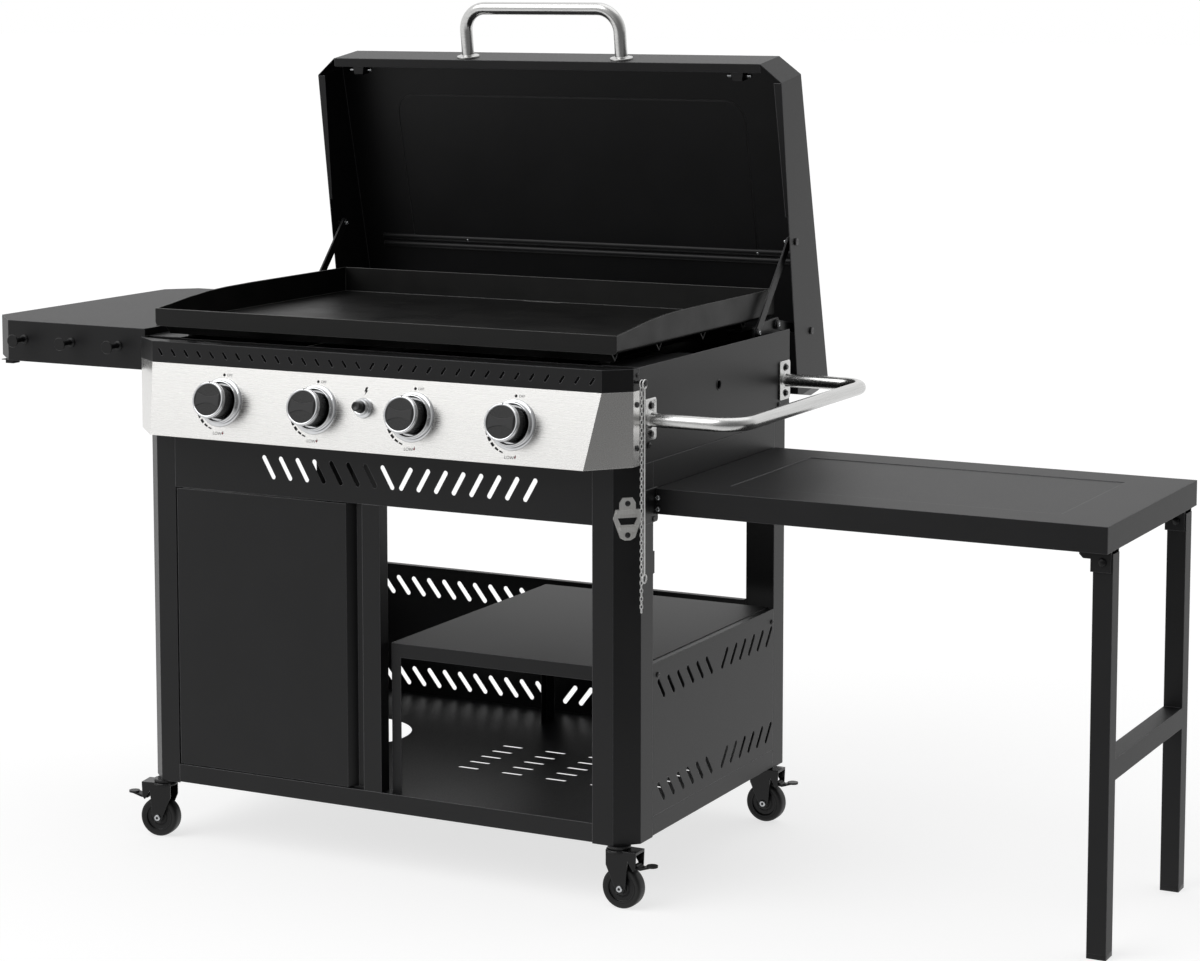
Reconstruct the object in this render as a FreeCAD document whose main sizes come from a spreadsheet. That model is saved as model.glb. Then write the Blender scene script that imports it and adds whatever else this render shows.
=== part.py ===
import FreeCAD, Part
import Sketcher
import math
import os

# Outdoor gas griddle station: a four-burner griddle on a wheeled cart with a
# hinged lid, a fixed left shelf and a right table on folding legs.
# Millimetres. The cart frame below starts at the cart's front left corner, just
# above the floor: x to the right, y to the rear, z up. The whole object is then
# shifted by shift_x, shift_y and shift_z, so that the origin lies on the floor
# under the middle of its bounding box.

Vec = FreeCAD.Vector
os.makedirs("parts", exist_ok=True)
doc = FreeCAD.newDocument("GriddleStation")
sheet = doc.addObject("Spreadsheet::Sheet", "Dims")

# Driving dimensions
DRIVING = {
    # place of the cart in the object's own frame
    "shift_x": -645, "shift_y": -340.08, "shift_z": 2.5,
    # cart
    "cart_w": 910, "cart_d": 610, "ply": 1.2, "post_low": 96, "deck": 690,
    "bevel": 32, "post_front": 36, "post_side": 42, "post_rear": 52, "return_in": 14,
    "rail_low": 98, "floor_top": 128, "side_top": 371, "back_top": 367,
    "fascia_low": 596, "top_rail_low": 643, "lip": 12,
    "jamb_x": 428, "jamb_w": 33, "jamb_deep": 24,
    "slot_wide": 8, "slot_long": 40, "slot_step": 32,
    "vent_long": 39, "vent_wide": 9, "vent_step_x": 82, "vent_step_y": 38,
    "tank_hole": 105, "tank_x": 205, "tank_y": 320,
    "shelf_x": 472, "shelf_y": 16, "shelf_d": 524, "shelf_top": 372, "shelf_apron": 23,
    # door
    "door_x": 71, "door_flat": 327, "door_gap": 2, "pull_w": 27, "pull_deep": 16,
    "pin_r": 2.5, "pin_x": 77, "pin_y": 5.5, "pin_gap": 0.08,
    # body
    "body_top": 841, "body_d": 596, "trim_low": 806, "nose": 31, "nose_low": 59,
    "corner": 36, "corner_low": 53, "corner_left": 48, "corner_low_left": 61, "return_y": 26, "side_edge": 5,
    "knob_mid": 460, "knob_step": 179, "knob_z": 750,
    "plate_x": 35, "plate_w": 851, "plate_y": 3, "plate_d": 587, "plate_low": 862,
    "plate_floor": 866, "plate_front": 891, "plate_rim": 909, "wall": 3,
    "plate_bend": 7, "rib_drop": 14, "rib_half": 12, "foot_in": 72, "foot_front": 51, "foot_rear": 545,
    "notch": 26, "port_r": 7, "port_y": 312, "port_z": 780, "cup_x": 445, "chute_y": 575,
    "inlet_x": 130, "inlet_z": 698, "inlet_r": 6, "cup_top": 640,
    # lid, in its own frame: y from the front rim to the rear, z up from the rim
    "lid_d": 600, "lid_front": 80, "lid_rear": 133, "lid_bevel_x": 37, "lid_bevel_y": 31,
    "lid_back_x": 20, "lid_back_y": 25, "heel": 98, "heel_in": 31,
    "rim": 14, "lid_y": 550, "lid_z": 1288, "lid_lean": 81.5,
    "grip_mid": 450, "grip_half": 151, "grip_out": 87, "tube_r": 11, "tube_wall": 1.5, "bend": 40,
    # lid linkage
    "stay_y": 490.25, "stay_z": 844.45, "link_y": 570.23, "link_z": 850.83,
    "stay_on_y": 308, "stay_on_z": 24, "link_on_y": 475, "link_on_z": 68,
    "bar_ply": 3, "bar_half": 8, "bar_in": 11, "pivot_r": 3,
    # casters
    "wheel_r": 33, "wheel_w": 24, "axle_r": 4, "trail": 8,
    "caster_in_x": 28, "caster_front": 14, "caster_rear": 556,
    # right handle
    "handle_z": 757, "handle_y1": 58, "handle_y2": 572, "handle_out": 152, "handle_bend": 45,
    # left shelf
    "left_w": 344, "left_y": 16, "left_d": 584, "left_top": 853, "left_low": 784, "left_bevel": 60,
    "left_bevel_rear": 45, "left_gap": 0.5, "hook_z": 822,
    # right table
    "table_x": 912, "table_w": 722, "table_y": 79, "table_d": 457, "table_top": 647, "table_low": 607,
    "leg_w": 30, "leg_in_y": 27, "leg_pivot": 590, "leg_head": 602, "brace_low": 262,
    # chain
    "ring_y": 15, "ring_z": 820, "chain_x": 919, "wire_r": 0.8, "link_long": 11, "link_wide": 7,
    "link_step": 7.4, "link_count": 47, "rod_r": 1.25, "rod_loop": 6.5, "rod_long": 300,
}
for row, (name, value) in enumerate(DRIVING.items(), start=1):
    sheet.set("A%d" % row, name)
    sheet.set("B%d" % row, str(value))
    sheet.setAlias("B%d" % row, name)
doc.recompute()


class Size:
    """A length that carries its value and the sheet expression it comes from."""

    def __init__(self, value, text):
        self.value = value
        self.text = text

    def __add__(self, other):
        other = size(other)
        return Size(self.value + other.value, "(%s + %s)" % (self.text, other.text))

    def __radd__(self, other):
        return size(other) + self

    def __sub__(self, other):
        other = size(other)
        return Size(self.value - other.value, "(%s - %s)" % (self.text, other.text))

    def __rsub__(self, other):
        return size(other) - self

    def __mul__(self, factor):
        return Size(self.value * factor, "(%s * %.6f)" % (self.text, factor))

    __rmul__ = __mul__

    def __truediv__(self, factor):
        return self * (1.0 / factor)

    def __neg__(self):
        return self * -1


def size(number):
    """A plain number as a Size."""
    if isinstance(number, Size):
        return number
    return Size(float(number), "(%.6f)" % number)


def cell(name):
    """The sheet's value under a name, with its expression."""
    return Size(float(sheet.get(name)), "Dims." + name)


D = {name: cell(name) for name in DRIVING}
W = D["cart_w"]
DEPTH = D["cart_d"]
T = D["ply"]
nodes = []


def bind(obj, prop, amount):
    """Binds one property of an object to its expression."""
    obj.setExpression(prop, size(amount).text)


def place(obj, at, turn=None):
    """Places an object at sheet-driven coordinates, turned by a fixed rotation."""
    obj.Placement = FreeCAD.Placement(Vec(*[size(a).value for a in at]), turn or FreeCAD.Rotation())
    for axis, amount in zip("xyz", at):
        bind(obj, "Placement.Base." + axis, amount)


def node(obj, label, at=(0, 0, 0), turn=None):
    """Makes an object a sub-part: its label, and its place in the cart frame."""
    obj.Label = label
    place(obj, (D["shift_x"] + at[0], D["shift_y"] + at[1], D["shift_z"] + at[2]), turn)
    nodes.append(obj)
    return obj


def box(x1, x2, y1, y2, z1, z2):
    """A box between two corners."""
    made = doc.addObject("Part::Box", "box")
    bind(made, "Length", size(x2) - x1)
    bind(made, "Width", size(y2) - y1)
    bind(made, "Height", size(z2) - z1)
    place(made, (x1, y1, z1))
    return made


TURNS = {
    "z": FreeCAD.Rotation(),
    "x": FreeCAD.Rotation(Vec(0, 1, 0), 90),
    "y": FreeCAD.Rotation(Vec(1, 0, 0), -90),
}


def rod(radius, length, at, axis="z"):
    """A cylinder from a point along one of the axes."""
    made = doc.addObject("Part::Cylinder", "rod")
    bind(made, "Radius", radius)
    bind(made, "Height", length)
    place(made, at, TURNS[axis])
    return made


def fuse(*shapes):
    """One solid out of pieces that meet."""
    made = doc.addObject("Part::MultiFuse", "fusion")
    made.Shapes = list(shapes)
    made.Refine = True
    return made


def cut(base, *tools):
    """A shape less its tools."""
    made = doc.addObject("Part::Cut", "cutting")
    made.Base = base
    made.Tool = tools[0] if len(tools) == 1 else group(*tools)
    return made


def common(one, other):
    """What two shapes share."""
    made = doc.addObject("Part::MultiCommon", "common")
    made.Shapes = [one, other]
    return made


def group(*shapes):
    """Separate solids kept together."""
    made = doc.addObject("Part::Compound", "group")
    made.Links = list(shapes)
    return made


def sketch_on(body, role, offset):
    """An empty sketch on one of a body's origin planes, moved along its normal."""
    plane = [f for f in body.Origin.OriginFeatures if f.Role == role][0]
    drawn = body.newObject("Sketcher::SketchObject", "sketch")
    drawn.AttachmentSupport = [(plane, "")]
    drawn.MapMode = "FlatFace"
    drawn.AttachmentOffset = FreeCAD.Placement(Vec(0, 0, size(offset).value), FreeCAD.Rotation())
    bind(drawn, "AttachmentOffset.Base.z", offset)
    return drawn


def draw_outline(drawn, points):
    """A closed outline with every corner tied to the sheet."""
    corners = [(size(a), size(b)) for a, b in points]
    first = drawn.GeometryCount
    for i, (a, b) in enumerate(corners):
        c, d = corners[(i + 1) % len(corners)]
        drawn.addGeometry(Part.LineSegment(Vec(a.value, b.value, 0), Vec(c.value, d.value, 0)))
    last = first + len(corners) - 1
    for i in range(first, last + 1):
        follows = i + 1 if i < last else first
        drawn.addConstraint(Sketcher.Constraint("Coincident", i, 2, follows, 1))
    for i, (a, b) in enumerate(corners):
        for kind, amount, axis in (("DistanceX", a, -2), ("DistanceY", b, -1)):
            if abs(amount.value) < 1e-9:
                drawn.addConstraint(Sketcher.Constraint("PointOnObject", first + i, 1, axis))
                continue
            index = drawn.addConstraint(Sketcher.Constraint(kind, -1, 1, first + i, 1, amount.value))
            drawn.setExpression("Constraints[%d]" % index, amount.text)


def draw_slots(drawn, slots, wide, long):
    """Slots with round ends, each given by its middle and its angle."""
    r = size(wide).value / 2
    half = size(long).value / 2 - r
    for x, y, angle in slots:
        way = Vec(math.cos(math.radians(angle)), math.sin(math.radians(angle)), 0)
        side = Vec(-way.y, way.x, 0) * r
        one = Vec(x, y, 0) - way * half
        two = Vec(x, y, 0) + way * half
        drawn.addGeometry(Part.LineSegment(one + side, two + side))
        drawn.addGeometry(Part.Arc(two + side, two + way * r, two - side))
        drawn.addGeometry(Part.LineSegment(two - side, one - side))
        drawn.addGeometry(Part.Arc(one - side, one - way * r, one + side))


def sheet_body():
    """An empty body for sketched features."""
    return doc.addObject("PartDesign::Body", "body")


PLANES = {"xy": "XY_Plane", "xz": "XZ_Plane", "yz": "YZ_Plane"}


def pad(body, plane, points, low, high):
    """Pads an outline between two heights over its plane; xz sketches face the front."""
    drawn = sketch_on(body, PLANES[plane], -size(high) if plane == "xz" else low)
    draw_outline(drawn, points)
    made = body.newObject("PartDesign::Pad", "pad")
    made.Profile = drawn
    bind(made, "Length", size(high) - low)
    drawn.Visibility = False
    return made


def prism(plane, points, low, high):
    """A body that is one padded outline."""
    body = sheet_body()
    pad(body, plane, points, low, high)
    return body


def punch(body, plane, slots, wide, long, low, high):
    """Cuts slots through a sheet that lies between two heights over the plane."""
    drawn = sketch_on(body, PLANES[plane], -size(low) if plane == "xz" else high)
    draw_slots(drawn, slots, wide, long)
    made = body.newObject("PartDesign::Pocket", "slots")
    made.Profile = drawn
    bind(made, "Length", size(high) - low)
    drawn.Visibility = False
    return made


def lathe(points):
    """A body turned about the z axis from an outline of radius and height."""
    body = sheet_body()
    drawn = sketch_on(body, "XZ_Plane", 0)
    draw_outline(drawn, points)
    made = body.newObject("PartDesign::Revolution", "turned")
    made.Profile = drawn
    made.ReferenceAxis = (drawn, ["V_Axis"])
    made.Angle = 360
    return body


def bent_bar(plane, offset, start, corners, end, radius, bend):
    """A round bar along straight runs joined by arcs, drawn on an origin plane."""
    body = sheet_body()
    route = sketch_on(body, PLANES[plane], offset)
    points = [Vec(size(a).value, size(b).value, 0) for a, b in (start, *corners, end)]
    r = size(bend).value
    here = points[0]
    for i in range(1, len(points) - 1):
        before = (points[i - 1] - points[i]).normalize()
        after = (points[i + 1] - points[i]).normalize()
        enter = points[i] + before * r
        leave = points[i] + after * r
        middle = points[i] + (before + after) * (r * (1 - math.sqrt(0.5)))
        route.addGeometry(Part.LineSegment(here, enter))
        route.addGeometry(Part.Arc(enter, middle, leave))
        here = leave
    route.addGeometry(Part.LineSegment(here, points[-1]))
    ring = body.newObject("Sketcher::SketchObject", "section")
    ring.AttachmentSupport = [(route, "Edge1")]
    ring.MapMode = "NormalToEdge"
    index = ring.addGeometry(Part.Circle(Vec(0, 0, 0), Vec(0, 0, 1), size(radius).value))
    ring.addConstraint(Sketcher.Constraint("Coincident", index, 3, -1, 1))
    which = ring.addConstraint(Sketcher.Constraint("Radius", index, size(radius).value))
    ring.setExpression("Constraints[%d]" % which, size(radius).text)
    pipe = body.newObject("PartDesign::AdditivePipe", "pipe")
    pipe.Profile = ring
    pipe.Spine = (route, ["Edge%d" % (i + 1) for i in range(route.GeometryCount)])
    return body


def bent_tube(plane, offset, route, radius, wall, bend):
    """A bent bar with a bore along the same route."""
    start, *corners, end = route
    outside = bent_bar(plane, offset, start, corners, end, radius, bend)
    return cut(outside, bent_bar(plane, offset, start, corners, end, size(radius) - wall, bend))


def round_edges(base, radius, wanted):
    """Rounds the edges whose middles a test picks."""
    doc.recompute()
    made = doc.addObject("Part::Fillet", "rounded")
    made.Base = base
    r = size(radius).value
    picked = [i for i, e in enumerate(base.Shape.Edges, start=1) if wanted(e.CenterOfMass)]
    made.Edges = [(i, r, r) for i in picked]
    return made


# Cart: four folded corner posts, rails, pans and panels of thin sheet

def post(label, right, rear):
    """A corner post: two flanges joined by a 45 degree face."""
    b = D["bevel"]
    flange = D["post_rear"] if rear else D["post_front"]
    side = D["post_side"]
    inset = T * math.tan(math.radians(22.5))
    outline = [
        (b + flange, 0), (b, 0), (0, b), (0, b + side),
        (T, b + side), (T, b + inset), (b + inset, T), (b + flange, T),
    ]
    if right:
        outline = [(W - x, y) for x, y in outline]
    if rear:
        outline = [(x, DEPTH - y) for x, y in outline]
    made = prism("xy", outline, D["post_low"], D["deck"])
    if not right and not rear:
        # return that closes the gap beside the door
        end = b + flange
        made = fuse(made, box(end - T, end, T, D["return_in"], D["floor_top"], D["fascia_low"]))
    if right and not rear:
        # catch plate and stop stud that the table's end hooks over
        edge = b + side
        plate = box(W - T, W, edge - 1, edge + 5, 514, 549)
        made = fuse(made, plate, rod(4, 4, (W - T, edge - 1, 600), "x"))
    node(made, label)


def slot_fan(middle, height, count, first, angle):
    """Slots leaning one way on the left of a middle line and the other way on its right."""
    step = D["slot_step"].value
    fan = []
    for i in range(count):
        reach = first + i * step
        fan.append((middle - reach, height, 180 - angle))
        fan.append((middle + reach, height, angle))
    return fan


def front_rail():
    outline = [(0, D["rail_low"]), (0, D["floor_top"]), (T, D["floor_top"]),
               (T, D["rail_low"] + T), (20, D["rail_low"] + T), (20, D["rail_low"])]
    x1 = D["bevel"] + D["post_front"]
    node(prism("yz", outline, x1, W - x1), "rail_front_bottom")


def floor_pan():
    """Bottom tray with side and rear skirts, air slots and the gas bottle's hole."""
    b = D["bevel"] + T
    top = D["floor_top"]
    outline = [(b, T), (W - b, T), (W - T, b), (W - T, DEPTH - b),
               (W - b, DEPTH - T), (b, DEPTH - T), (T, DEPTH - b), (T, b)]
    body = sheet_body()
    pad(body, "xy", outline, top - T, top)
    vents = []
    for i in range(5):
        for j in range(5):
            vents.append((508 + i * D["vent_step_x"].value, 200 + j * D["vent_step_y"].value, 0))
    punch(body, "xy", vents, D["vent_wide"], D["vent_long"], top - T, top)
    holes = [rod(D["tank_hole"], 6, (D["tank_x"], D["tank_y"], top - 4)),
             rod(D["pin_r"] + D["pin_gap"], 6, (D["pin_x"], D["pin_y"], top - 4))]
    tray = cut(body, *holes)
    low = D["rail_low"]
    y1 = D["bevel"] + D["post_side"]
    rear = D["bevel"] + D["post_rear"]
    skirts = [box(0, T, y1, DEPTH - y1, low, top), box(W - T, W, y1, DEPTH - y1, low, top),
              box(rear, W - rear, DEPTH - T, DEPTH, low, top)]
    node(fuse(tray, *skirts), "floor_pan")


def side_panel(label, right):
    """Lower side panel with two rows of slots and a lip along its top."""
    y1 = D["bevel"] + D["post_side"]
    x1 = W - T if right else size(0)
    body = sheet_body()
    low, top = D["floor_top"], D["side_top"]
    pad(body, "yz", [(y1, low), (DEPTH - y1, low), (DEPTH - y1, top), (y1, top)], x1, x1 + T)
    fan = []
    for height in (327, 162):
        for i in range(6):
            fan.append((104 + i * 35.3, height, 128))
            fan.append((340 + i * 35.3, height, 52))
    punch(body, "yz", fan, D["slot_wide"], D["slot_long"], x1, x1 + T)
    lip_x = (W - D["lip"], W - T) if right else (T, D["lip"])
    lip = box(lip_x[0], lip_x[1], y1, DEPTH - y1, top - T, top)
    node(fuse(body, lip), label)


def back_panel():
    x1 = D["bevel"] + D["post_rear"]
    low, top = D["floor_top"], D["back_top"]
    body = sheet_body()
    pad(body, "xz", [(x1, low), (W - x1, low), (W - x1, top), (x1, top)], DEPTH - T, DEPTH)
    fan = slot_fan(455, 327, 11, 28, 52) + slot_fan(455, 160, 11, 28, 52)
    punch(body, "xz", fan, D["slot_wide"] + 1, D["slot_long"] + 2, DEPTH - T, DEPTH)
    lip = box(x1, W - x1, DEPTH - D["lip"], DEPTH - T, top - T, top)
    node(fuse(body, lip), "back_panel")


def door_jamb():
    """The upright between the door and the open bay, folded from sheet."""
    x1 = D["jamb_x"]
    x2 = x1 + D["jamb_w"]
    deep = D["jamb_deep"]
    outline = [(x1, 0), (x1, deep), (x1 + T, deep), (x1 + T, T), (x2 - T, T),
               (x2 - T, deep), (x2, deep), (x2, 0)]
    node(prism("xy", outline, D["floor_top"], D["fascia_low"]), "door_jamb")


def fascia():
    """Front cross beam with a row of slots."""
    x1 = D["bevel"] + D["post_front"]
    low, top = D["fascia_low"], D["deck"]
    body = sheet_body()
    pad(body, "xz", [(x1, low), (W - x1, low), (W - x1, top), (x1, top)], 0, T)
    fan = slot_fan(493, 642, 8, 17, 60)
    punch(body, "xz", fan, D["slot_wide"], D["slot_long"] + 3, 0, T)
    lip = cut(box(x1, W - x1, T, 18, low, low + T),
              rod(D["pin_r"] + D["pin_gap"], 6, (D["pin_x"], D["pin_y"], low - 2)))
    node(fuse(body, lip), "fascia_beam")


def top_rails():
    """Two side rails and a rear rail under the body."""
    y1 = D["bevel"] + D["post_side"]
    x1 = D["bevel"] + D["post_rear"]
    low, top = D["top_rail_low"], D["deck"]
    left = fuse(box(0, T, y1, DEPTH - y1, low, top), box(T, D["lip"], y1, DEPTH - y1, low, low + T))
    right = fuse(box(W - T, W, y1, DEPTH - y1, low, top),
                 box(W - D["lip"], W - T, y1, DEPTH - y1, low, low + T))
    rear = fuse(box(x1, W - x1, DEPTH - T, DEPTH, low, top),
                box(x1, W - x1, DEPTH - D["lip"], DEPTH - T, low, low + T))
    node(group(left, right, rear), "top_rails")


def tank_shelf():
    """Raised inner shelf: a folded top on two angle legs."""
    x1 = D["shelf_x"]
    x2 = W - D["lip"]
    y1 = D["shelf_y"]
    y2 = y1 + D["shelf_d"]
    top = D["shelf_top"]
    apron = top - D["shelf_apron"]
    corner = 28
    plan = [(x1, y1), (x2 - corner, y1), (x2, y1 + corner), (x2, y2), (x1, y2)]
    pieces = [
        prism("xy", plan, top - T, top),
        box(x1, x2 - corner, y1, y1 + T, apron, top - T),
        box(x1, x1 + T, y1, y2, apron, top - T),
    ]
    for y_face, y_web in ((y1, y1), (y2 - T, y2 - 20)):
        pieces.append(box(x1, x1 + 17, y_face, y_face + T, D["floor_top"], apron))
        pieces.append(box(x1, x1 + T, y_web, y_web + 20, D["floor_top"], apron))
    node(fuse(*pieces), "tank_shelf")


def cabinet_door():
    """Inset door: a flat pan whose free edge folds back into a finger pull, on two pins."""
    low = D["floor_top"] + D["door_gap"]
    top = D["fascia_low"] - D["door_gap"]
    x1 = D["door_x"]
    x2 = x1 + D["door_flat"]
    deep = D["pull_deep"]
    x3 = x2 + D["pull_w"]
    outline = [(x1, 0), (x2, 0), (x2 + 12, deep - T), (x3, deep - T), (x3, deep),
               (x2 + 10.6, deep), (x2 - 1.4, T), (x1 + T, T), (x1 + T, deep), (x1, deep)]
    skin = prism("xy", outline, low, top)
    boss = [(x1 + T, T), (x1 + 14, T), (x1 + 14, deep), (x1 + T, deep)]
    upper = prism("xy", boss, top - 20, top)
    lower = prism("xy", boss, low, low + 20)
    fold = [(x1, T / 2), (x2 - 1, T / 2), (x2 + 10, deep), (x1, deep)]
    folds = [prism("xy", fold, top - T, top), prism("xy", fold, low, low + T)]
    pins = [rod(D["pin_r"], D["door_gap"] + 24, (D["pin_x"], D["pin_y"], top - 20)),
            rod(D["pin_r"], D["door_gap"] + 24, (D["pin_x"], D["pin_y"], low - D["door_gap"] - 4))]
    node(fuse(skin, upper, lower, *folds, *pins), "cabinet_door")


# Body: burner box, trim strip, control panel, plate, burners and gas train

def burner_box():
    """Open sheet box round the burners, with the plate's seats, the drain chute and the cup's runners."""
    low, top = D["deck"], D["body_top"]
    rear = D["body_d"]
    front = D["return_y"]
    inner = cut(box(T, W - T, front, front + T, low + T, top - T),
                *[rod(10.1, 10, (x, front - 4, 800), "y") for x in knob_places()])
    shell = [
        box(0, W - T, front, rear, low, low + T),
        box(0, T, front, rear, low + T, top),
        box(T, W - T, rear - T, rear, low + T, top),
        inner,
    ]
    # seats for the plate's feet: a gusset in each front corner and a tab at the back
    gusset = [(T, front), (64, front), (64, 100), (28, 220), (T, 220)]
    x1, x2 = D["foot_in"] - 14, D["foot_in"] + 14
    tab = [(x1, rear - 70), (x2, rear - 70), (x2, rear - T), (x1, rear - T)]
    for outline in (gusset, tab):
        shell.append(prism("xy", outline, top - T, top))
        shell.append(prism("xy", [(W - x, y) for x, y in outline], top - T, top))
    # grease goes down the chute into the cup, which hangs on two angle runners
    mid, chute = D["cup_x"], D["chute_y"]
    shell.append(box(mid - 24, mid + 24, chute - 12, chute + 12, 655, 855))
    for outward in (-1, 1):
        web = mid + outward * 58
        ledge = mid + outward * 50
        slide = D["cup_top"] - 2
        web_x = sorted((web, web - outward * T), key=lambda v: v.value)
        ledge_x = sorted((ledge, web), key=lambda v: v.value)
        shell.append(box(*web_x, 495, rear, slide - T, low))
        shell.append(box(*ledge_x, 495, rear, slide - T, slide))
    notch = D["notch"]
    cuts = [box(mid - 22.5, mid + 22.5, chute - 10.5, chute + 10.5, 650, 860)]
    for x1, x2 in ((T, notch), (W - notch, W - T)):
        cuts.append(box(x1, x2, rear - 10, rear + 5, top - 16, top + 5))
    # the right wall is a sheet of its own, with the lighting hole
    port = rod(D["port_r"], 12, (W - 6, D["port_y"], D["port_z"]), "x")
    wall = cut(box(W - T, W, front, rear, low, top), port)
    node(group(cut(fuse(*shell), *cuts), wall), "burner_box")


def knob_places():
    """The four knobs' places across the panel."""
    mid, step = D["knob_mid"], D["knob_step"]
    return [mid + step * (i - 1.5) for i in range(4)]


def front_trim():
    """Folded strip above the control panel, with a row of short slanted slots."""
    low, top = D["trim_low"], D["body_top"]
    c, out, back, edge = D["corner"], D["nose"], D["return_y"], D["side_edge"]
    left = D["corner_left"]
    inset = T * math.tan(math.radians(22.5))
    outer = [(0, back), (0, edge), (left, -out), (W - c, -out), (W, edge), (W, back)]
    inner = [(W - T, back), (W - T, edge + inset), (W - c - inset, T - out),
             (left + inset, T - out), (T, edge + inset), (T, back)]
    body = sheet_body()
    pad(body, "xy", outer + inner, low, top)
    marks = []
    for i in range(16):
        marks.append((455 - 13 - i * 25.2, 823.5, 125))
        marks.append((455 + 13 + i * 26, 823.5, 55))
    punch(body, "xz", marks, 4, 14, -out, T - out)
    ledge = prism("xy", inner[1:5] + [(left + inset, 24 - out), (W - c - inset, 24 - out)], top - T, top)
    # the chain and the lighting rod hang from a headed stud on the right end
    x, y, z = D["chain_x"] - 2.5, D["ring_y"], D["ring_z"]
    stud = fuse(rod(2.5, x + 10.5 - W, (W - 1, y, z), "x"), rod(4.5, 1.5, (x + 9.5, y, z), "x"))
    node(fuse(body, ledge, stud), "front_trim")


def control_panel():
    """Sloped panel with bevelled ends, open at the back, with holes for the stems."""
    low, top = D["deck"], D["trim_low"]
    c1, c2 = D["corner"], D["corner_low"]
    left1, left2 = D["corner_left"], D["corner_low_left"]
    n1, n2 = D["nose"], D["nose_low"]
    edge, back = D["side_edge"], D["return_y"]

    def ring(left, c, nose, t):
        return [(t, back), (t, edge + t * 0.4), (left + t * 0.4, t - nose), (W - c - t * 0.4, t - nose),
                (W - t, edge + t * 0.4), (W - t, back)]

    def lofted(t, z1, z2):
        body = sheet_body()
        below = sketch_on(body, "XY_Plane", z1)
        draw_outline(below, ring(left2, c2, n2, t))
        above = sketch_on(body, "XY_Plane", z2)
        draw_outline(above, ring(left1, c1, n1, t))
        loft = body.newObject("PartDesign::AdditiveLoft", "loft")
        loft.Profile = below
        loft.Sections = [above]
        loft.Ruled = True
        return body

    skin = cut(lofted(size(0), low, top), lofted(T, low, top))
    inset = T / 2
    behind = [(W - inset, edge + 6), (W - c2, -5), (c2, -5), (inset, edge + 6)]
    floor = prism("xy", ring(left2, c2, n2, inset)[1:5] + behind, low, low + T)
    holes = [panel_rod(6.5, x, D["knob_z"], -12, 24) for x in knob_places()]
    holes.append(panel_rod(7, D["knob_mid"], D["knob_z"] + 8, -12, 24))
    node(cut(fuse(skin, floor), *holes), "control_panel")


SLOPE = math.degrees(math.atan2((D["nose_low"] - D["nose"]).value, (D["trim_low"] - D["deck"]).value))
# local z of everything on the panel points out of its face
PANEL_TURN = FreeCAD.Rotation(Vec(1, 0, 0), 90 - SLOPE)


def panel_point(x, z):
    """The point of the panel's outer face at a height."""
    share = (D["trim_low"].value - size(z).value) / (D["trim_low"].value - D["deck"].value)
    y = -(D["nose"] + (D["nose_low"] - D["nose"]) * share)
    return (size(x), y, size(z))


def panel_rod(radius, x, z, start, length):
    """A cylinder square to the panel, from a depth behind or before its face."""
    made = doc.addObject("Part::Cylinder", "rod")
    bind(made, "Radius", radius)
    bind(made, "Height", length)
    out = PANEL_TURN.multVec(Vec(0, 0, 1))
    at = panel_point(x, z)
    place(made, (at[0], at[1] + out.y * start, at[2] + out.z * start), PANEL_TURN)
    return made


def griddle_plate():
    """Welded steel plate: low front wall, side walls that rise to the back, V ribs and feet below."""
    x1 = D["plate_x"]
    x2 = x1 + D["plate_w"]
    y1 = -D["plate_y"]
    y2 = y1 + D["plate_d"]
    low, rim, front = D["plate_low"], D["plate_rim"], D["plate_front"]
    t = D["wall"]
    side = [(y1, low), (y2, low), (y2, rim), (280, rim), (200, rim - 1), (150, rim - 3),
            (90, rim - 8), (40, front + 4), (t, front), (y1, front)]
    hull = prism("yz", side, x1, x2)
    floor_edge, left_edge, right_edge = low.value, x1.value, x2.value
    hull = round_edges(hull, D["plate_bend"], lambda c: abs(c.z - floor_edge) < 0.1
                       and min(abs(c.x - left_edge), abs(c.x - right_edge)) < 0.1)
    well = box(x1 + t, x2 - t, y1 + t, y2 - t, D["plate_floor"], rim + 20)
    mid = D["cup_x"]
    slit = box(mid - 36, mid + 36, y2 - 14, y2 - 6, low - 5, D["plate_floor"] + 5)
    tray = cut(hull, well, slit)
    drop, half = D["rib_drop"], D["rib_half"]
    pieces = [tray]
    for y in (18, 171, 333, 490):
        rib = [(y - half, low), (y, low - drop), (y + half, low), (y + half - 3, low),
               (y, low - drop + 3.5), (y - half + 3, low)]
        pieces.append(prism("yz", rib, x1 + 14, x2 - 14))
    for x in (D["foot_in"], W - D["foot_in"]):
        for y in (D["foot_front"], D["foot_rear"]):
            pieces.append(rod(4, low - D["body_top"], (x, y, D["body_top"])))
            pieces.append(rod(8, 2.5, (x, y, D["body_top"])))
            pieces.append(rod(9, 6, (x, y, D["body_top"] + 7)))
    node(fuse(*pieces), "griddle_plate")


def burner_tubes():
    """Four straight burner tubes, closed at the rear, with narrower open throats in front."""
    made = []
    start = D["return_y"] + T + 12
    length = D["body_d"] - T - start
    wall = D["tube_wall"]
    for x in knob_places():
        outside = fuse(rod(13, length, (x, start, 800), "y"), rod(10, 28, (x, start - 28, 800), "y"))
        inside = fuse(rod(13 - wall, length - wall * 2, (x, start + wall, 800), "y"),
                      rod(10 - wall, 40, (x, start - 30, 800), "y"))
        made.append(cut(outside, inside))
    node(group(*made), "burner_tubes")


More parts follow.
